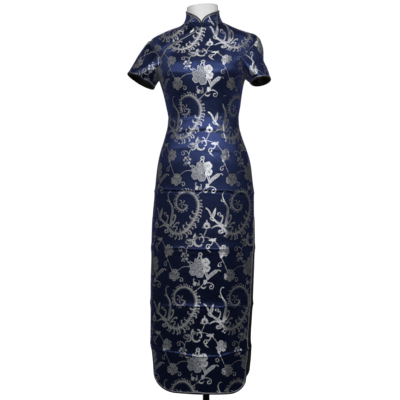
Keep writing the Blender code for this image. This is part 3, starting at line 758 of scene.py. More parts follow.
def ruffle(x, y, radius, facing, fill=SOFT):
    """A round petal with a scalloped bright rim, a filling and three veins."""
    turn = turns(20)
    away = radius * (0.88 + 0.14 * np.abs(np.sin(2.5 * turn))) * (1 + 0.05 * np.sin(turn + facing))
    shapes = []
    for grown, tone in ((1.0, GROUND), (0.0, FIGURE), (-0.14 * radius, fill)):
        shapes.append((np.array([along_of(x, y, facing, a * math.cos(t), 0.94 * a * math.sin(t))
                                 for a, t in zip(away + grown, turn)]), tone))
    for side in (-38, 0, 38):
        ends = [along_of(x, y, facing + side, share * radius) for share in (-0.15, 0.60)]
        shapes += ribbon(ends, (0.5, 1.3), GROUND if fill == FIGURE else FIGURE, 1)
    return shapes


def ringed(x, y, radius, *rings):
    """Discs one on another, each with its share of the radius and its tone."""
    return drawn(*(bead(x, y, share * radius, tone, 12 if share > 0.5 else 8) for share, tone in rings))


def peony():
    """The big flower: ruffled petals about a rolled middle, those to the right filled bright."""
    return drawn(
        hook(-20, 8, 130, 14, 1), hook(-14, 14, 112, 13, -1), hook(-25, 4, 160, 10, 1),
        ribbon([(-9, 22), (-6, 30), (-1, 36)], (2.2, 3.4, 2.4)), blade(4, 22, 80, 15, 5, 0.1),
        ringed(1.5, 40.5, 7.2, (1.0, FIGURE), (0.62, SOFT), (0.34, GROUND)),
        ruffle(-23, -1, 11.0, 180), ruffle(-7, 14, 13.0, 105), ruffle(-20, -17, 15.0, 218),
        ruffle(1, -23, 15.5, 275), ruffle(23, -5, 13.5, -22, FIGURE), ruffle(18, 14, 16.5, 35, FIGURE),
        ruffle(-2, 1, 13.0, 20)[:3], bead(-2, 0, 7.6, GROUND, 11), bead(-2, 0, 6.9, FIGURE, 11),
        curl(-2, 0, 5.6, 200, 1.1, 1.8, GROUND),
        *(blade(*along_of(-2, 0, degrees, 7.8), degrees + 14, 4.2, 2.4, 0.1)
          for degrees in (25, 80, 150, 215, 280, 330)))


def rolled_flower(x, y, radius, phase, petals=7):
    """A round flower: scalloped petals, a ring of rolled ones inside them and a small eye."""
    shapes = []
    for k in range(petals):
        degrees = phase + 360 * k / petals + 7 * math.sin(2.6 * k)
        size = radius * (0.37 + 0.04 * math.sin(1.9 * k))
        at = along_of(x, y, degrees, 0.62 * radius)
        shapes += ruffle(*at, size, degrees, FIGURE if (2 * k) % 3 else SOFT)
    for k in range(5):
        degrees = phase + 30 + 72 * k
        start = along_of(x, y, degrees, 0.10 * radius)
        shapes += edged(0.6, hook(*start, degrees, 0.50 * radius, 1, FIGURE, 1.3))
    return shapes + ringed(x, y, 0.25 * radius, (1.15, GROUND), (1.0, FIGURE), (0.45, GROUND))


def cluster(x, y, radius, spots, phase):
    """A sprig of beads about a middle bead."""
    shapes = bead(x, y, 0.30 * radius, SOFT, 7)
    for k in range(spots):
        degrees = phase + 360 * k / spots + 8 * math.sin(2.6 * k)
        at = along_of(x, y, degrees, radius * (0.74 + 0.10 * math.sin(3.7 * k)))
        shapes += bead(*at, radius * (0.30 + 0.05 * math.sin(2 * k)), FIGURE if k % 3 else SOFT, 8)
    return shapes


def plume(x, y):
    """The long feather: from its root along the bottom, up the right side and rolled in to its eye."""
    spine = offset(x, y, (-4, 3), (8, -9), (22, -18), (40, -21), (58, -14), (74, 0), (89, 22), (99, 40),
                   (105, 61), (106, 79), (101, 94), (91, 108), (79, 117), (65, 121), (47, 116), (33, 103),
                   (28, 86), (32, 69), (46, 58), (60, 61), (67, 73))
    eye = offset(x, y, (50, 80))[0]
    return drawn(
        hooked(spine[:12], (15, 19, 21, 19, 17, 15, 13, 11), -1, 9.2, -1, 62, 0.3, 0.8),
        hooked(spine[2:10], (13, 17, 18, 14), 1, 21.0, -1, 118, 0.4, 1.1),
        hooked(spine[11:18], (12, 12, 11, 10, 9), -1, 8.4, 1, 74, 0.5, 0.7),
        hooked(spine[16:], (9, 9, 8), -1, 6.8, -1, 80, 0.5, 0.8),
        comb(spine, (3.6, 3.8, 3.6, 3.2, 2.8, 2.2, 1.8, 1.5), (7.5, 7.5, 6.5, 5.0, 3.6)),
        *(hook(*along_of(*eye, 40 + 72 * k, 3), 40 + 72 * k, 10 + 1.5 * math.sin(2 * k), 1, FIGURE, 0.9)
          for k in range(5)),
        bead(*eye, 2.0, GROUND, 6), curl(x - 10, y - 12, 9, 60, -1.0, 3.2),
        hook(x + 6, y - 8, -62, 22, 1, FIGURE, 0.9))


def crest(x, y):
    """What rises from the plume's root: split leaves to the left, a hatched stem and curls to the right."""
    def band(points, widths, tone=FIGURE):
        return ribbon(offset(x, y, *points), widths, tone)

    def hatch(move, tone):
        return band(((9 + move, 6), (13 + move, 26), (16 + move, 46), (14 + move, 64), (6 + 0.5 * move, 76)),
                    (0.5, 1.3, 1.3, 1.1, 0.4), tone)

    return drawn(
        band(((9, 0), (13, 26), (16, 46), (14, 66), (4, 82), (-3, 98), (-3, 110), (3, 118), (8, 116)),
             (10.0, 9.0, 8.0, 6.5, 4.5, 3.0, 2.2, 1.6, 2.2)),
        hatch(-1.7, GROUND), hatch(1.4, SOFT),
        band(((2, 2), (-18, 14), (-35, 30), (-46, 50), (-54, 61), (-60, 63)),
             (9.0, 8.0, 6.0, 5.0, 2.6, 0.8)),
        band(((-4, 6), (-20, 19), (-36, 35), (-46, 50)), (0.6, 1.5, 1.5, 0.5), GROUND),
        blade(x - 34, y + 27, 82, 38, 9.5, -0.10), blade(x - 33, y + 32, 84, 24, 1.6, -0.10, GROUND),
        blade(x - 50, y + 55, 130, 12, 4, 0.2), hook(x - 30, y + 20, 160, 17, -1, FIGURE, 0.9),
        band(((0, -2), (-16, 4), (-30, 0), (-38, -6)), (7.0, 5.5, 4.0, 1.0)),
        hook(x - 8, y + 12, 66, 27, 1, FIGURE, 0.7), curl(x - 15, y + 42, 7.5, -70, 0.9, 2.4),
        hook(x + 16, y + 8, 58, 34, 1, FIGURE, 0.65), hook(x + 20, y - 1, 50, 26, -1, FIGURE, 0.7),
        hook(x + 14, y + 22, 64, 22, 1, SOFT, 0.8), hook(x + 16, y - 4, 20, 20, -1, FIGURE, 0.8),
        hook(x + 15, y + 60, 20, 13, 1, SOFT, 0.8), hook(x + 2, y + 84, 175, 11, -1))


STEMS = (
    [(-30, -2), (-46, 0), (-62, -5), (-78, -18)], [(-30, 8), (-40, 16), (-46, 24)],
    [(-47, 44), (-45, 56), (-41, 66), (-32, 78)],
    [(-14, 94), (-4, 98), (10, 99), (24, 97), (36, 92), (44, 87)],
    [(10, 99), (16, 112), (21, 124)], [(48, 86), (58, 74), (68, 60)],
    [(70, 44), (72, 30), (84, 6), (90, -8), (98, -18)],
    [(24, -44), (18, -52), (7, -66), (-10, -80), (-18, -88)],
)
LEAF = [(26, -44), (32, -34), (43, -24), (54, -16), (58, -13)]


def repeat_shapes():
    """Everything in one repeat, about the big flower's middle."""
    return drawn(
        *(ribbon(line, (1.9, 1.6, 1.6)) for line in STEMS), peony(),
        # the leaves under it and their tendril
        ribbon([(11, -12), (19, -22), (25, -36), (26, -44)], (3.0, 4.0, 3.4, 3.0)),
        ribbon([(17, -11), (24, -19), (28, -30), (28, -40)], (1.6, 2.4, 2.0, 1.6)),
        edged(0.6, ribbon(LEAF, (5.0, 10.5, 11.5, 11.5, 7.0))),
        ribbon(LEAF, (1.5, 6.5, 7.6, 7.0, 2.6), SOFT), ribbon(LEAF[:4], (0.8, 1.8, 1.6, 0.8)),
        hook(56, -15, 28, 14, -1, FIGURE, 1.1),
        [(np.array([(15, -44), (27, -46), (25, -54), (19, -60), (14, -54)]), FIGURE)],
        ribbon([(24, -66), (17, -72), (9, -70), (7, -64)], (1.0, 4.4, 4.4, 2.0)),
        tendril([(16, -60), (28, -54), (38, -55), (47, -61)], 40, -68, 8.5, 20, -0.95, 2.4),
        # the little bell under the flower
        edged(0.6, bead(-14, -58, 7.0, FIGURE, 9), bead(-3, -59, 6.0, SOFT, 9)),
        hook(-16, -53, 120, 12, -1), hook(-2, -55, 60, 9, 1), blade(-9, -56, -100, 12, 3, 0.0, GROUND),
        # to the left: the rolled flower with its tendril, and the beaded sprig
        rolled_flower(-88, -30, 21, 12), tendril([(-74, -34), (-68, -38)], -62, -46, 8, 120, -1.0, 2.2),
        cluster(-50, 35, 14, 6, 70), cluster(-55, 20, 7.5, 4, 20),
        bead(-38, 14, 2.6), bead(-33, 18, 2.0, SOFT),
        tendril([(-44, 52), (-50, 61), (-58, 65)], -65, 57, 8.5, 80, 1.0),
        # the iris with rolled petals
        edged(0.5, blade(-22, 88, 186, 27, 12, -0.14, SOFT), blade(-22, 88, 186, 22, 7, -0.10)),
        edged(0.5, blade(-22, 88, 80, 25, 9, -0.05), blade(-22, 88, 40, 20, 10, 0.2, SOFT)),
        edged(0.6, hook(-25, 87, 232, 22, -1, SOFT, 1.6), hook(-21, 86, -66, 27, 1, FIGURE, 1.5)),
        edged(0.5, hook(-23, 84, -98, 19, -1, FIGURE, 1.3)),
        ringed(-22, 87, 4.6, (1.0, FIGURE), (0.5, GROUND)),
        # small scroll on the branch, the round fruit and the winged bud
        hook(7, 98, 100, 14, 1), hook(9, 98, -70, 17, -1), hook(4, 99, -150, 11, 1), bead(8, 98, 3.0),
        bead(21, 137, 11.0, FIGURE, 14), bead(21, 135, 5.6, SOFT, 9), bead(21, 134, 3.4, GROUND, 7),
        blade(21, 146, 92, 11, 5), hook(15, 131, 200, 8, -1), hook(27, 131, -15, 8, 1),
        *(blade(41, 88, degrees, length, 6.5, 0.08)
          for degrees, length in ((172, 14), (24, 15), (-12, 12), (104, 8))),
        tendril([(42, 86), (41, 78), (35, 71)], 27, 66, 9, 35, 1.05, 2.8), bead(41, 87, 3.6),
        ribbon([(24, 58), (30, 53), (37, 47)], (3.0, 3.0, 1.0)),
        # to the right: the flower of rolled petals over a berry, and the hanging tendril
        rolled_flower(80, 52, 20, 40), bead(71, 33, 4.6), tendril([(78, 22), (72, 14)], 68, 5, 8.5, 60, 1.0),
        plume(-114, -190), crest(-115, -187))


def placed_shapes(shapes, low, high, shift, slant):
    """Copies of the repeat that touch a rectangle of cloth, in metres; slant is how far it leans."""
    out = []
    boxes = [(points.min(axis=0) / 1000, points.max(axis=0) / 1000) for points, _ in shapes]
    columns, rows = (range(int(math.floor((low[k] - shift[k]) / REPEAT[k])) - 1,
                           int(math.ceil((high[k] - shift[k]) / REPEAT[k])) + 2) for k in (0, 1))
    for row in rows:
        for column in columns:
            move = np.array([shift[0] + column * REPEAT[0], shift[1] + row * REPEAT[1]])
            for (points, tone), (least, most) in zip(shapes, boxes):
                if np.any(most + move < low) or np.any(least + move > high):
                    continue
                placed = points / 1000 + move
                placed[:, 0] += slant * (np.minimum(placed[:, 1], GRAIN_TOP) - GRAIN_LEVEL)
                out.append((placed, tone))
    return out


# ---- flat cloth to worn cloth
class FlatMap:
    """Arc lengths across a surface at each of its levels, and the way back."""

    def __init__(self, surface, firsts, seconds, stretch=1.0):
        points = surface(*np.meshgrid(firsts, seconds))
        length = np.linalg.norm(np.diff(points, axis=1), axis=-1)
        arc = np.concatenate([np.zeros((len(seconds), 1)), np.cumsum(length, axis=1)], axis=1)
        zero = int(np.argmin(np.abs(firsts)))
        self.firsts, self.seconds, self.stretch = firsts, seconds, stretch
        self.arc = arc - arc[:, zero:zero + 1]
        self.spots = np.arange(self.arc.min() - FLAT_EDGE, self.arc.max() + FLAT_EDGE, FLAT_STEP)
        self.back = np.stack([np.interp(self.spots, row, firsts) for row in self.arc])

    def rows(self, second):
        return np.interp(second, self.seconds, np.arange(len(self.seconds)))

    def flat(self, first, second):
        columns = np.interp(first, self.firsts, np.arange(len(self.firsts)))
        return np.stack([between(self.arc, self.rows(second), columns), second * self.stretch], axis=-1)

    def worn(self, spots):
        second = spots[:, 1] / self.stretch
        columns = (spots[:, 0] - self.spots[0]) / (self.spots[1] - self.spots[0])
        return between(self.back, self.rows(second), columns), second


def between(table, row_share, column_share):
    """A table's value between its rows and columns."""
    row = np.clip(row_share.astype(int), 0, table.shape[0] - 2)
    column = np.clip(column_share.astype(int), 0, table.shape[1] - 2)
    up, across = np.clip(row_share - row, 0, 1), np.clip(column_share - column, 0, 1)
    low = table[row, column] * (1 - across) + table[row, column + 1] * across
    high = table[row + 1, column] * (1 - across) + table[row + 1, column + 1] * across
    return low * (1 - up) + high * up


def border(grid):
    """The points round a grid's edge, once round."""
    return np.concatenate([grid[0, :-1], grid[:-1, -1], grid[-1, :0:-1], grid[:0:-1, 0]])


def area_of(points):
    x, y = points[:, 0], points[:, 1]
    return 0.5 * float(np.sum(x * np.roll(y, -1) - np.roll(x, -1) * y))


def points_of(vectors):
    return np.array([tuple(vector) for vector in vectors])


def filled(loop, inside):
    """Triangles that fill a closed line, with points inside it; the line's own points come first."""
    spots = [Vector(spot) for spot in np.concatenate([loop, inside])]
    made = delaunay_2d_cdt(spots, [], [list(range(len(loop)))], 1, FILL_MERGE)
    points = points_of(made[0])
    order = np.full(len(points), -1)
    for new, sources in enumerate(made[3]):
        for source in sources:
            if source < len(loop):
                order[new] = source
    extra = np.flatnonzero(order < 0)
    order[extra] = len(loop) + np.arange(len(extra))
    arranged = np.empty_like(points)
    arranged[order] = points
    return arranged, order[np.array([corners for corners in made[2] if len(corners) == 3])]


class Cut:
    """A piece's flat cut, with the woven shapes laid on it as closed lines."""

    def __init__(self, flat):
        self.outline = border(flat)
        self.low, self.high = self.outline.min(axis=0), self.outline.max(axis=0)
        self.spots = [tuple(spot) for spot in flat[1:-1, 1:-1].reshape(-1, 2)]
        self.loops, self.notes = [], []
        self.add(self.outline, WHOLE, GROUND)

    def add(self, points, region, tone):
        if area_of(points) < 0:
            points = points[::-1]
        start = len(self.spots)
        self.spots.extend(tuple(point) for point in points)
        self.loops.append(list(range(start, start + len(points))))
        self.notes.append((region, tone))

    def add_shapes(self, shapes, flat_map, darts):
        """Lay the shapes on; beyond a dart they are moved by the cloth that it takes in."""
        inside = [(points, tone) for points, tone in shapes
                  if np.any(points[:, 0] >= self.low[0]) and np.any(points[:, 0] <= self.high[0])]
        if not darts:
            for points, tone in inside:
                self.add(points, MIDDLE, tone)
            return
        levels = np.linspace(0, ABOVE_ALL, 200)
        lines = {side: flat_map.flat(np.full_like(levels, side * math.radians(degrees)), levels)
                 for side, degrees, *_ in darts}

        def line_at(side, level):
            return np.interp(level, lines[side][:, 1], lines[side][:, 0])

        for points, tone in inside:
            x, level = points[:, 0], points[:, 1]
            if np.any((x > line_at(-1, level)) & (x < line_at(1, level))):
                self.add(points, MIDDLE, tone)
            for side, _, lower, upper, taken in darts:
                off = (level - 0.5 * (lower + upper)) / (0.5 * (upper - lower))
                moved = points.copy()
                moved[:, 0] -= side * taken * np.clip(1 - np.abs(off) ** 2, 0, 1)
                if np.any(side * moved[:, 0] > side * line_at(side, level)):
                    self.add(moved, side, tone)
        for side, line in lines.items():
            line = line[(line[:, 1] > self.low[1] - FLAT_EDGE) & (line[:, 1] < self.high[1] + FLAT_EDGE)]
            far = np.stack([np.full(len(line), side * 1.0), line[:, 1]], axis=1)[::-1]
            self.add(np.concatenate([line, far]), (BEYOND, side), GROUND)

    def divided(self):
        """Points, triangles and the tone of each triangle, which is that of the uppermost shape there."""
        made = delaunay_2d_cdt([Vector(spot) for spot in self.spots], [], self.loops, 1, SHAPE_MERGE)
        triangles, tones = [], []
        for corners, sources in zip(made[2], made[5]):
            if 0 not in sources or len(corners) != 3:
                continue
            region = MIDDLE
            for source in sources:
                if isinstance(self.notes[source][0], tuple):
                    region = self.notes[source][0][1]
            top = max((source for source in sources if self.notes[source][0] == region), default=0)
            triangles.append(corners)
            tones.append(self.notes[top][1])
        used, triangles = np.unique(np.array(triangles), return_inverse=True)
        return points_of(made[0])[used], triangles.reshape(-1, 3), tones


def rim_loop(triangles, count):
    """The points round the edge of a sheet of triangles, in order."""
    edges = np.concatenate([triangles[:, [0, 1]], triangles[:, [1, 2]], triangles[:, [2, 0]]])
    keys = edges.min(axis=1) * count + edges.max(axis=1)
    _, where, seen = np.unique(keys, return_index=True, return_counts=True)
    rim = edges[where[seen == 1]]
    after = dict(rim.tolist())
    loop = [int(rim[0, 0])]
    while after[loop[-1]] != loop[0]:
        loop.append(after[loop[-1]])
    return np.array(loop)


def woven_piece(name, surface, outward, grid, flat_map, darts=(), slant=0.0):
    """A piece of brocade: its flat cut is divided along the pattern's outlines, then put on the form."""
    flat = flat_map.flat(*grid)
    cut = Cut(flat)
    low, high = cut.low - SHAPE_REACH, cut.high + SHAPE_REACH
    shapes = placed_shapes(PATTERN, low, high, PLACES[name], slant)
    cut.add_shapes(shapes, flat_map, darts)
    flat_points, triangles, tones = cut.divided()
    count = len(flat_points)

    # the lining shares the rim's points, and is divided more coarsely inside it
    here = rim_loop(triangles, count)
    back_flat, back_triangles = filled(flat_points[here], flat[1:-1, 3:-3:3].reshape(-1, 2))
    flat_both = np.concatenate([flat_points, back_flat])
    at_first, at_second = flat_map.worn(flat_both)
    points = surface(at_first, at_second)
    normal = normal_of(surface, at_first, at_second) * outward
    one, two, three = points[triangles].swapaxes(0, 1)
    facing = np.sum(np.cross(two - one, three - one) * normal[triangles[:, 0]])
    points[count:] -= normal[count:] * SHEET_THICK
    normal[count:] *= -1

    # between outside and lining, a narrow wall round the rim
    there = np.roll(here, -1)
    below = count + np.arange(len(here))
    beyond = np.roll(below, -1)
    faces = np.concatenate([
        triangles, back_triangles[:, ::-1] + count,
        np.stack([there, here, below], axis=1), np.stack([there, below, beyond], axis=1),
    ])
    if facing < 0:
        faces = faces[:, ::-1]
    slots = np.concatenate([tones, np.full(len(faces) - len(triangles), len(WOVEN) - 1)])
    item = mesh_piece(name + "_cloth", points, faces.tolist(), WOVEN)
    item.data.polygons.foreach_set("material_index", slots.astype(np.int32))
    item.data.normals_split_custom_set_from_vertices(normal.tolist())
    layer = item.data.uv_layers.new(name="flat")
    layer.data.foreach_set("uv", flat_both[faces.reshape(-1)].astype(np.float32).reshape(-1))
    size = cut.high - cut.low
    min(abs(area_of(cut.outline)), float(size[0] * size[1]))
    return item


def linked(name, data):
    item = bpy.data.objects.new(name, data)
    bpy.context.scene.collection.objects.link(item)
    return item


def mesh_of(name, points, edges, faces, looks=()):
    mesh = bpy.data.meshes.new(name)
    mesh.from_pydata(points, edges, faces)
    for look in looks:
        mesh.materials.append(look)
    return mesh


def mesh_piece(name, points, faces, looks):
    """A piece of the dress, given by points about the figure's axis."""
    points = np.asarray(points, float).reshape(-1, 3) + STANDS_AT
    mesh = mesh_of(name, points.tolist(), [], faces, looks)
    mesh.shade_smooth()
    return linked(name, mesh)


class Sock:
    """A socket in a tree of nodes; sums and other nodes write themselves onto it."""

    def __init__(self, tree, socket=None):
        self.tree, self.socket = tree, socket

    def node(self, kind, settings, sockets, out=0):
        """Any node: first its settings, then its sockets' values or links; gives one of its outputs."""
        made = self.tree.nodes.new(kind)
        for key, value in settings.items():
            setattr(made, key, value)
        for key, value in sockets.items():
            if isinstance(value, Sock):
                self.tree.links.new(value.socket, made.inputs[key])
            else:
                made.inputs[key].default_value = value
        return Sock(self.tree, made.outputs[out] if made.outputs else None)

    def math(self, operation, *values):
        return self.node("ShaderNodeMath", {"operation": operation}, dict(enumerate(values)))

    def __add__(self, other):
        return self.math("ADD", self, other)

    def __sub__(self, other):
        return self.math("SUBTRACT", self, other)

    def __rsub__(self, other):
        return self.math("SUBTRACT", other, self)

    def __mul__(self, other):
        return self.math("MULTIPLY", self, other)

    __radd__, __rmul__ = __add__, __mul__

    def sine(self):
        return self.math("SINE", self)

    def limited(self):
        return self.node("ShaderNodeClamp", {}, {0: self})

    def noise(self, scale, detail):
        return self.node("ShaderNodeTexNoise", {}, {"Scale": scale, "Detail": detail, "Vector": self}, "Fac")

    def part(self, axis):
        return self.node("ShaderNodeSeparateXYZ", {}, {0: self}, axis)

    def blend(self, first, second):
        """The two colours mixed by this share."""
        colors = {0: self, 6: (*first, 1), 7: (*second, 1)}
        return self.node("ShaderNodeMix", {"data_type": "RGBA"}, colors, 2)

    def bump(self, distance, strength):
        return self.node("ShaderNodeBump", {}, {"Distance": distance, "Strength": strength, "Height": self})


def new_material(name, levels):
    """A material whose shader's sockets are set to the same level all over."""
    made = bpy.data.materials.new(name)
    made.use_nodes = True
    shader = made.node_tree.nodes["Principled BSDF"]
    for socket, level in levels.items():
        shader.inputs[socket].default_value = level
    return made, Sock(made.node_tree)


def feed(made, sockets):
    """Link what varies over the surface to the material's shader."""
    shader = made.node_tree.nodes["Principled BSDF"]
    for socket, source in sockets.items():
        made.node_tree.links.new(source.socket, shader.inputs[socket])
    return made


def thread_cloth(name, dark, light, roughness, speckle, float_run, pucker, levels):
    """Woven silk: long floats running up the cloth, broken by the weave's small steps."""
    made, tree = new_material(name, levels)
    flat = tree.node("ShaderNodeUVMap", {"uv_map": "flat"}, {})
    x, y = flat.part(0), flat.part(1)
    drawn_out = flat.node("ShaderNodeMapping", {}, {"Vector": flat, "Scale": (1.0, float_run, 1.0)})
    grain = drawn_out.noise(900.0, 2.0)
    cloudy = flat.noise(26.0, 3.0)
    patchy = (flat.noise(170.0, 2.0) - 0.5) * 2.2 + 0.5
    share = (grain + patchy) * (0.5 * speckle) + cloudy * (1.0 - speckle)
    rough = (grain - 0.5) * 0.16 + (cloudy - 0.5) * 0.10 + roughness
    twill = ((x * 5200.0 + y * 2600.0).sine() + (y * 4200.0).sine() * 0.5) * 0.25 + grain
    puckered = flat.noise(105.0, 2.0) * pucker + flat.noise(38.0, 1.0) * (2.0 * pucker)
    return feed(made, {"Base Color": share.limited().blend(dark, light), "Roughness": rough.limited(),
                       "Normal": (twill + puckered).bump(FLOAT_RISE, 0.6)})


def fine_surface(name, color, dark, light, roughness, scale, detail, bump, levels):
    """A plain cloth or paint: its colour and gloss vary finely, from a darker to a lighter share."""
    made, tree = new_material(name, levels)
    fine = tree.node("ShaderNodeTexCoord", {}, {}, "Object").noise(scale, detail)
    shades = [tuple(min(1.0, level * share) for level in color) for share in (dark, light)]
    rough = (fine - 0.5) * 0.2 + roughness
    return feed(made, {"Base Color": fine.blend(*shades), "Roughness": rough.limited(),
                       "Normal": fine.bump(GRAIN_RISE, bump)})


def plain_cloth(name, color, roughness, sheen=0.2, scale=1400.0):
    return fine_surface(name, color, 0.75, 1.25, roughness, scale, 2.0, 0.5, {"Sheen Weight": sheen})


def lacquered_metal(name, color, roughness, metallic, scale):
    return fine_surface(name, color, 0.85, 1.0, roughness, scale, 4.0, 0.3, {"Metallic": metallic})


# ---- edges and seams
def step_in(surface, first, second, tangent, distance, turn):
    """Parameters of the point that lies a distance in from an edge, across the edge's direction."""
    along, up = (slope / (2 * SMALL) for slope in slopes(surface, first, second))
    inward = np.cross(np.cross(along, up), tangent) * turn
    inward /= np.linalg.norm(inward, axis=-1, keepdims=True)
    aa, au, uu, ai, ui = (np.sum(a * b, axis=-1) for a, b in (
        (along, along), (along, up), (up, up), (along, inward), (up, inward)))
    spread = aa * uu - au ** 2
    return first + distance * (ai * uu - ui * au) / spread, second + distance * (ui * aa - ai * au) / spread


def tangents(edge, closed=False):
    """Unit steps along a line of points."""
    tangent = np.roll(edge, -1, axis=0) - np.roll(edge, 1, axis=0) if closed else np.gradient(edge, axis=0)
    return tangent / np.linalg.norm(tangent, axis=-1, keepdims=True)


def tube_faces(count, around, closed=False):
    """Faces between rings of points; closed joins the last ring to the first."""
    faces = []
    for k in range(count if closed else count - 1):
        row, after = k * around, (k + 1) % count * around
        for j in range(around):
            step = (j + 1) % around
            faces.append([row + j, row + step, after + step, after + j])
    return faces


def edge_roll(name, surface, first, second, turn, outward, profile, look, closed=False):
    """A tape or cord along an edge; its section is a loop of steps in from the edge and off the cloth."""
    tangent = tangents(surface(first, second), closed)
    lines = []
    for distance, height in profile:
        at = step_in(surface, first, second, tangent, max(distance, 0.0), turn)
        point = raised(surface, *at, outward * height)
        if distance < 0:
            point = point + np.cross(normal_of(surface, first, second), tangent) * turn * distance
        lines.append(point)
    grid = np.stack(lines, axis=1)
    count, around = grid.shape[:2]
    faces = tube_faces(count, around, closed)
    if not closed:
        faces.append(list(range(around))[::-1])
        faces.append([(count - 1) * around + j for j in range(around)])
    face = grid.reshape(-1, 3)[faces[0]]
    outside = face.mean(axis=0) - grid[0].mean(axis=0)
    if np.dot(np.cross(face[1] - face[0], face[2] - face[0]), outside) < 0:
        faces = [corners[::-1] for corners in faces]
    return mesh_piece(name, grid, faces, [look])


def loop_profile(middle, height, half_width, half_height, count=8):
    return [(middle + half_width * math.cos(turn), height + half_height * math.sin(turn))
            for turn in turns(count)]


TAPE = ((-0.0007, 0.0004), (0.0000, 0.0010), (0.0012, 0.0012), (0.0034, 0.0011), (0.0042, 0.0005),
        (0.0042, -0.0010), (0.0012, -0.0019), (0.0000, -0.0017), (-0.0007, -0.0010))
CORD = loop_profile(0.0052, 0.0005, 0.0011, 0.0010)
ARMHOLE_CORD = loop_profile(0.0014, 0.0003, 0.0009, 0.0008)
END_TAPE = loop_profile(0.0004, 0.0002, 0.0013, 0.0009)


# ---- repeated sewing
def stitch_tree():
    """Short rounded stitches set along every edge of the mesh they are given."""
    tree = bpy.data.node_groups.new("hand_stitches", "GeometryNodeTree")
    inputs = (("Path", "Geometry", None), ("Spacing", "Float", STITCH_SPACING),
              ("Stitch length", "Float", STITCH_LENGTH), ("Thread radius", "Float", STITCH_RADIUS),
              ("Thread", "Material", None))
    for label, kind, value in inputs:
        socket = tree.interface.new_socket(label, in_out="INPUT", socket_type="NodeSocket" + kind)
        if value is not None:
            socket.default_value = value
    tree.interface.new_socket("Stitches", in_out="OUTPUT", socket_type="NodeSocketGeometry")
    pen = Sock(tree)
    given = {label: pen.node("NodeGroupInput", {}, {}, label) for label, *_ in inputs}
    curve = pen.node("GeometryNodeMeshToCurve", {}, {0: given["Path"]})
    spaced = pen.node("GeometryNodeResampleCurve", {"mode": "LENGTH"},
                      {"Curve": curve, "Length": given["Spacing"]})
    tangent = pen.node("GeometryNodeInputTangent", {}, {})
    turn = pen.node("FunctionNodeAlignRotationToVector", {"axis": "Z"}, {"Vector": tangent})
    thread = pen.node("GeometryNodeMeshCylinder", {"fill_type": "TRIANGLE_FAN"},
                      {"Vertices": 6, "Side Segments": 1, "Radius": given["Thread radius"],
                       "Depth": given["Stitch length"]}, "Mesh")
    set_out = pen.node("GeometryNodeInstanceOnPoints", {},
                       {"Points": spaced, "Instance": thread, "Rotation": turn})
    real = pen.node("GeometryNodeRealizeInstances", {}, {0: set_out})
    dressed = pen.node("GeometryNodeSetMaterial", {}, {"Geometry": real, "Material": given["Thread"]})
    pen.node("NodeGroupOutput", {}, {0: dressed})
    return tree


def stitched(name, paths, look):
    """One mesh of all the stitches along several paths of points."""
    points, edges = [], []
    for path in paths:
        edges += [(len(points) + k, len(points) + k + 1) for k in range(len(path) - 1)]
        points += (path + STANDS_AT).tolist()
    guide = linked(name + "_path", mesh_of(name + "_path", points, edges, []))
    modifier = guide.modifiers.new("stitches", "NODES")
    modifier.node_group = stitch_tree()
    for item in modifier.node_group.interface.items_tree:
        if item.item_type == "SOCKET" and item.in_out == "INPUT" and item.name == "Thread":
            modifier[item.identifier] = look
    graph = bpy.context.evaluated_depsgraph_get()
    result = bpy.data.meshes.new_from_object(guide.evaluated_get(graph))
    guide.modifiers.remove(modifier)
    bpy.data.objects.remove(guide, do_unlink=True)
    result.name = name
    result.materials.clear()
    result.materials.append(look)
    result.polygons.foreach_set("material_index", [0] * len(result.polygons))
    result.shade_smooth()
    return linked(name, result)


# ---- finishes
def silk(metallic, anisotropic, turned=0.0):
    """How floats of silk shine: turned is a share of a full turn from across the cloth."""
    return {"Metallic": metallic, "Anisotropic": anisotropic, "Anisotropic Rotation": turned}


SATIN_SHEEN = {"Sheen Weight": 0.58, "Sheen Roughness": 0.35, "Sheen Tint": (0.30, 0.31, 1.0, 1.0)}
GROUND_SILK = thread_cloth("blue_satin_ground", (0.0155, 0.0245, 0.072), (0.038, 0.058, 0.175),
                           roughness=0.42, speckle=0.55, float_run=0.10, pucker=5.0,
                           levels={**silk(0.91, 0.92), **SATIN_SHEEN})
SILVER_SILK = thread_cloth("silver_figure_floats", (0.28, 0.30, 0.36), (0.98, 0.99, 1.00), roughness=0.45,
                           speckle=0.80, float_run=0.22, pucker=18.0, levels=silk(0.85, 0.84, 0.25))
HALF_SILK = thread_cloth("half_tone_floats", (0.07, 0.08, 0.12), (0.52, 0.54, 0.61), roughness=0.48,
                         speckle=0.85, float_run=0.35, pucker=18.0, levels=silk(0.80, 0.84, 0.25))
CORD_CLOTH = thread_cloth("silver_piping", (0.26, 0.27, 0.30), (0.54, 0.55, 0.60), roughness=0.36,
                          speckle=0.5, float_run=0.5, pucker=5.0, levels=silk(0.45, 0.3))
LINING = plain_cloth("black_lining", (0.010, 0.010, 0.013), 0.55)
TAPE_CLOTH = plain_cloth("black_satin_tape", (0.012, 0.012, 0.018), 0.34, 0.1)
COVER_CLOTH = plain_cloth("form_jersey_cover", (1.0, 1.0, 0.98), 0.72, 0.2, 2200.0)
THREAD = plain_cloth("navy_thread", (0.020, 0.024, 0.060), 0.6)
BLACK_METAL = lacquered_metal("black_lacquered_steel", (0.012, 0.012, 0.013), 0.33, 0.6, 60.0)
WOVEN = (GROUND_SILK, SILVER_SILK, HALF_SILK, LINING)
PATTERN = repeat_shapes()


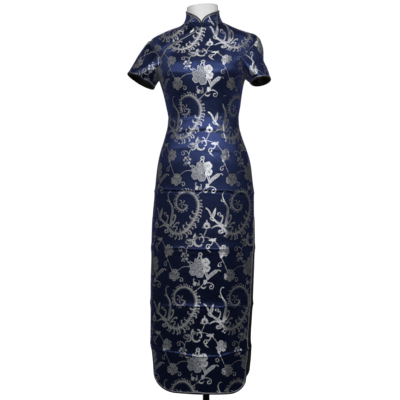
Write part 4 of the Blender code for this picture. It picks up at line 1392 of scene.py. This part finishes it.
# ---- the pieces of the dress
def close_rows(levels):
    """Places down a grid's rows: far apart on plain cloth and close together about each pressed fold."""
    spans = [(min(fold, fold + sag) - BELOW_FOLD - abs(fall), max(fold, fold + sag) + ABOVE_FOLD + abs(fall))
             for fold, _, _, sag, fall, *_ in PRESSED]
    wanted = [levels.min()]
    while wanted[-1] < levels.max():
        at_fold = any(low < wanted[-1] < high for low, high in spans)
        wanted.append(wanted[-1] + (ROWS_AT_FOLDS if at_fold else ROWS_APART))
    order = np.argsort(levels)
    places = np.interp(wanted[1:-1], levels[order], np.arange(len(levels))[order])
    return np.array(sorted({0.0, len(levels) - 1.0, *places}))


def refine(angle, level, rows, columns):
    """A grid of parameters made finer both ways; rows and columns are counts or places in the grid."""
    for axis, wanted in ((0, rows), (1, columns)):
        size = angle.shape[axis]
        where = np.linspace(0, size - 1, wanted) if np.isscalar(wanted) else wanted
        low = np.minimum(where.astype(int), size - 2)
        share = np.expand_dims(where - low, 1 - axis)
        angle, level = (np.take(table, low, axis) * (1 - share) + np.take(table, low + 1, axis) * share
                        for table in (angle, level))
    return angle, level


# a panel's face, the figure under it, which way its grid faces, its two sides, the slant of its figure
PANELS = {
    "front": (front_cloth, figure, 1, opening_boundary(), side_boundary("front", 1), OFF_GRAIN),
    "back": (from_behind(front_cloth), from_behind(figure), -1,
             side_boundary("back", -1), side_boundary("back", 1), 0.0),
}


def panel_piece(face):
    surface, under, outward, *sides, slant = PANELS[face]
    angle, level = panel_grid(face, *sides)
    grid = refine(angle, level, close_rows(level[:, level.shape[1] // 2]), PANEL_COLUMNS)
    across, levels = np.linspace(-HALF_ROUND, HALF_ROUND, 181), np.linspace(HEM - PAST, NECK + PAST, 330)
    flat_map = FlatMap(under, across, levels)
    return woven_piece(face + "_panel", surface, outward, grid, flat_map, DARTS[face], slant)


def tucked_cloth(angle, level):
    """The shoulder piece's face: it dips under the front along the opening."""
    degrees, levels = opening_at(np.linspace(0, 1, 60))
    above = level - np.interp(np.degrees(angle), degrees, levels)
    sunk = (CLOTH + TUCK_CLEAR) * (1 - ease(above / TUCK_FADE))
    return raised(figure, angle, level, fine_rise(angle, level) - sunk)


def underlap_piece():
    along, up = np.meshgrid(np.linspace(0, 1, 60), np.linspace(0, 1, 34), indexing="ij")
    angle, level = underlap_point(along, up)
    ends = np.minimum(1.0, np.minimum(along / TUCK_IN, (1 - along) / TUCK_OUT))
    tuck = UNDERLAP * ends * (1 - ease(up / TUCK_UP))
    grid = (angle + TUCK_ACROSS * tuck / ARMHOLE_DEPTH, level - TUCK_DOWN * tuck - TUCK_GAP * (1 - up))
    across, levels = np.linspace(-HALF_ROUND, 0.30, 121), np.linspace(1.18, NECK + PAST, 90)
    flat_map = FlatMap(figure, across, levels, UNDERLAP_STRETCH)
    return woven_piece("front_underlap", tucked_cloth, 1, grid, flat_map)


SLEEVE_CREASES = {
    # turn round the sleeve, share of its length, length, half width, height, slope in degrees
    "right": ((0.10, 0.45, 0.080, 0.0070, -0.0022, 60.0), (0.24, 0.40, 0.075, 0.0070, 0.0020, 78.0),
              (0.34, 0.60, 0.060, 0.0060, -0.0020, 100.0), (0.42, 0.35, 0.060, 0.0060, 0.0018, 60.0),
              (0.70, 0.45, 0.080, 0.0070, -0.0020, 110.0), (0.86, 0.50, 0.080, 0.0070, 0.0018, 80.0)),
    "left": ((0.08, 0.40, 0.070, 0.0065, -0.0024, 40.0), (0.20, 0.55, 0.080, 0.0065, -0.0026, 20.0),
             (0.30, 0.35, 0.070, 0.0065, 0.0022, 70.0), (0.40, 0.60, 0.060, 0.0060, -0.0022, 110.0),
             (0.66, 0.45, 0.080, 0.0070, -0.0020, 75.0), (0.84, 0.40, 0.080, 0.0070, 0.0020, 100.0)),
}


def creased_sleeve(which):
    plain = sleeve_surface(which)
    outward = SLEEVES[which]["side"]

    def surface(turn, share):
        turn, share = both(turn, share)
        rise = np.zeros(turn.shape)
        for at_turn, at_share, *form in SLEEVE_CREASES[which]:
            across = ((turn - at_turn + 0.5) % 1.0 - 0.5) * SLEEVE_ROUND
            rise = rise + crease(across, (share - at_share) * SLEEVE_LENGTH, *form)
        return raised(plain, turn, share, outward * (rise * ease(share / 0.10)))

    return surface


def sleeve_piece(which):
    grid = np.meshgrid(np.linspace(-SLEEVE_SPLIT, SLEEVE_SPLIT, 110), np.linspace(SLEEVE_START, 1.0, 34))
    around, lengths = np.linspace(-0.5, 0.5, 161), np.linspace(0.0, 1.02, 30)
    flat_map = FlatMap(sleeve_surface(which), around, lengths, SLEEVE_LENGTH)
    return woven_piece("sleeve_" + which, creased_sleeve(which), SLEEVES[which]["side"], grid, flat_map)


half_round = COLLAR_GAP + (math.pi - COLLAR_GAP) * np.linspace(0, 1, 110) ** 1.6
ROUND_NECK = np.concatenate([half_round, 2 * math.pi - half_round[-2::-1]])


def collar_piece():
    angle, share = np.meshgrid(ROUND_NECK, np.linspace(0.0, 1.0, 12))
    around, heights = np.linspace(0.001, 2 * math.pi - 0.001, 300), np.linspace(0.0, 0.0452, 12)
    flat_map = FlatMap(collar_surface, around, heights)
    grid = (angle, share * collar_edge(angle))
    return woven_piece("collar", collar_surface, 1, grid, flat_map)


front, back = panel_piece("front"), panel_piece("back")
underlap = underlap_piece()
sleeves = {which: sleeve_piece(which) for which in SLEEVES}
collar = collar_piece()

# ---- bound edges
trims = {}
stitch_paths = []


def bound_edge(node, surface, first, second, turn, outward, closed=False):
    """Tape and cord along one edge, and the line of the stitches beside them."""
    rolls = (("_tape", TAPE, TAPE_CLOTH), ("_piping", CORD, CORD_CLOTH))
    trims[node] = [edge_roll(node + end, surface, first, second, turn, outward, profile, look, closed)
                   for end, profile, look in rolls]
    at = step_in(surface, first, second, tangents(surface(first, second)), STITCHES_IN, turn)
    stitch_paths.append(raised(surface, *at, outward * STITCHES_OUT))
    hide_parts(node)


def extra_roll(node, end, *edge):
    trims[node].append(edge_roll(node + end, *edge))


for face, (surface, _, outward, *sides, _) in PANELS.items():
    angle, level = panel_grid(face, *sides)
    angle, level = refine(angle[:len(LOWER)], level[:len(LOWER)], HEM_PATH, 121)
    slit = [row for row in range(HEM_PATH) if level[row, 0] < SLIT_TOP - SLIT_CLEAR]
    path = [np.concatenate([table[slit[::-1], 0], table[0, 1:-1], table[slit, -1]])
            for table in (angle, level)]
    bound_edge(face + "_hem_binding", surface, *path, 1, outward)

degrees, level = opening_at(np.linspace(0.0, OPENING_BOUND, 110))
bound_edge("opening_binding", front_cloth, np.radians(degrees), level, -1, 1)
arm = armhole("front", -1, np.linspace(0.10, 0.5, 40))
extra_roll("opening_binding", "_armhole_piping", front_cloth, *arm, -1, 1, ARMHOLE_CORD, CORD_CLOTH)
bound_edge("collar_binding", collar_surface, ROUND_NECK, collar_edge(ROUND_NECK), -1, 1)
height = np.linspace(0.0006, COLLAR_END + 0.001, 14)
for end, gap, turn in (("right", COLLAR_GAP, -1), ("left", 2 * math.pi - COLLAR_GAP, 1)):
    extra_roll("collar_binding", "_end_tape_" + end, collar_surface, np.full_like(height, gap), height,
               turn, 1, END_TAPE, TAPE_CLOTH)
for which, size in SLEEVES.items():
    turn, cuff = np.arange(160) / 160, np.ones(160)
    bound_edge("cuff_binding_" + which, creased_sleeve(which), turn, cuff, -1, size["side"], closed=True)
stitches = stitched("edge_stitches", stitch_paths, THREAD)

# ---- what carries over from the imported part
for node, look in (("form_torso", COVER_CLOTH), ("stand_pole", BLACK_METAL), ("stand_hub", BLACK_METAL),
                   ("stand_base", BLACK_METAL)):
    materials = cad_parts[node].data.materials
    materials.clear()
    materials.append(look)

# ---- bodies: the imported pieces are hidden and the new ones hang from one body
brocade = {"front_panel": front, "back_panel": back, "front_underlap": underlap, "collar": collar,
           "sleeve_left": sleeves["left"], "sleeve_right": sleeves["right"]}
for node, piece in brocade.items():
    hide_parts(node)
    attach(piece, "root")
for piece in [roll for rolls in trims.values() for roll in rolls] + [stitches]:
    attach(piece, "root")


# ---- floor, backdrop, light and camera
def stage_sheet(name, points, faces, paper):
    levels = {"Base Color": (0.85, 0.85, 0.85, 1), "Roughness": 0.9, "Emission Color": (1, 1, 1, 1),
              "Emission Strength": 1.0}
    item = linked(name, mesh_of(name, points, [], faces, [new_material(paper, levels)[0]]))
    item.visible_diffuse = item.visible_glossy = False


def dome(radius, rings=16, around=48):
    points = []
    for tilt in np.linspace(0, math.pi / 2 - 0.01, rings):
        out, up = radius * math.cos(tilt), radius * math.sin(tilt) - 0.02
        points += [(out * math.cos(turn), out * math.sin(turn), up) for turn in turns(around)]
    top = list(range(len(points)))[-around:]
    return points, [corners[::-1] for corners in tube_faces(rings, around)] + [top]


floor = [(-9, -9, 0), (9, -9, 0), (9, 9, 0), (-9, 9, 0)]
stage_sheet("studio_floor", floor, [(0, 1, 2, 3)], "pale_floor_paper")
stage_sheet("studio_backdrop", *dome(8.0), "pale_backdrop_paper")

# name, azimuth, elevation, distance and height of the point it turns about, aim, size, power
LIGHTS = (
    ("key_softbox", 18, 17, 1.50, 1.12, (0, 0, 1.08), (0.72, 0.36), 7.8),
    ("front_softbox", 16, 9, 3.0, 0.9, (0, 0, 0.9), (0.5, 0.5), 6.5),
    ("low_softbox", 5, -7, 1.6, 0.9, (0, 0, 1.1), (0.5, 0.4), 1.6),
    ("left_key_softbox", -22, 17, 1.5, 1.12, (-0.05, 0, 1.08), (0.4, 0.3), 1.8),
    ("left_softbox", -25, 35, 3.0, 0.9, (0, 0, 0.9), (0.6, 0.6), 11.5),
    ("side_softbox", -60, 20, 3.0, 0.9, (0, 0, 0.9), (0.6, 0.6), 2.5),
    ("right_softbox", 46, 42, 1.15, 1.25, (0.10, 0, 1.25), (0.4, 0.4), 1.25),
    ("overhead_softbox", 0, 75, 3.0, 0.9, (0, 0, 0.9), (0.6, 0.6), 7.0),
    ("back_softbox", 175, 25, 3.0, 0.9, (0, 0, 0.9), (1.0, 1.0), 10.0),
)
for name, azimuth, elevation, away, height, aim, (across, tall), power in LIGHTS:
    a, e = math.radians(azimuth), math.radians(elevation)
    out = away * math.cos(e)
    place = Vector((FIGURE_AT[0] + out * math.sin(a), FIGURE_AT[1] - out * math.cos(a),
                    height + away * math.sin(e)))
    light = bpy.data.lights.new(name, "AREA")
    light.shape = "RECTANGLE"
    light.size, light.size_y = across, tall
    light.energy = power
    item = linked(name, light)
    item.location = place
    item.rotation_euler = (Vector(aim) - place).to_track_quat("-Z", "Y").to_euler()

world = bpy.data.worlds.new("studio")
world.use_nodes = True
sky = world.node_tree.nodes["Background"]
sky.inputs["Color"].default_value = (1, 1, 1, 1)
sky.inputs["Strength"].default_value = 0.05
bpy.context.scene.world = world

VIEW_AZIMUTH = math.radians(6.5)
VIEW_AWAY, VIEW_HEIGHT, VIEW_ASIDE, VIEW_WIDTH, SENSOR = 2.70, 0.7418, -0.0121, 1.38, 36
right = Vector((math.cos(VIEW_AZIMUTH), math.sin(VIEW_AZIMUTH), 0))
ahead = Vector((-math.sin(VIEW_AZIMUTH), math.cos(VIEW_AZIMUTH), 0))
lens = bpy.data.cameras.new("camera")
lens.sensor_width = SENSOR
lens.lens = SENSOR * VIEW_AWAY / VIEW_WIDTH
camera = linked("camera", lens)
camera.location = Vector((*FIGURE_AT, VIEW_HEIGHT)) + right * VIEW_ASIDE - ahead * VIEW_AWAY
camera.rotation_euler = ahead.to_track_quat("-Z", "Y").to_euler()
bpy.context.scene.camera = camera
bpy.context.scene.view_settings.view_transform = "Standard"
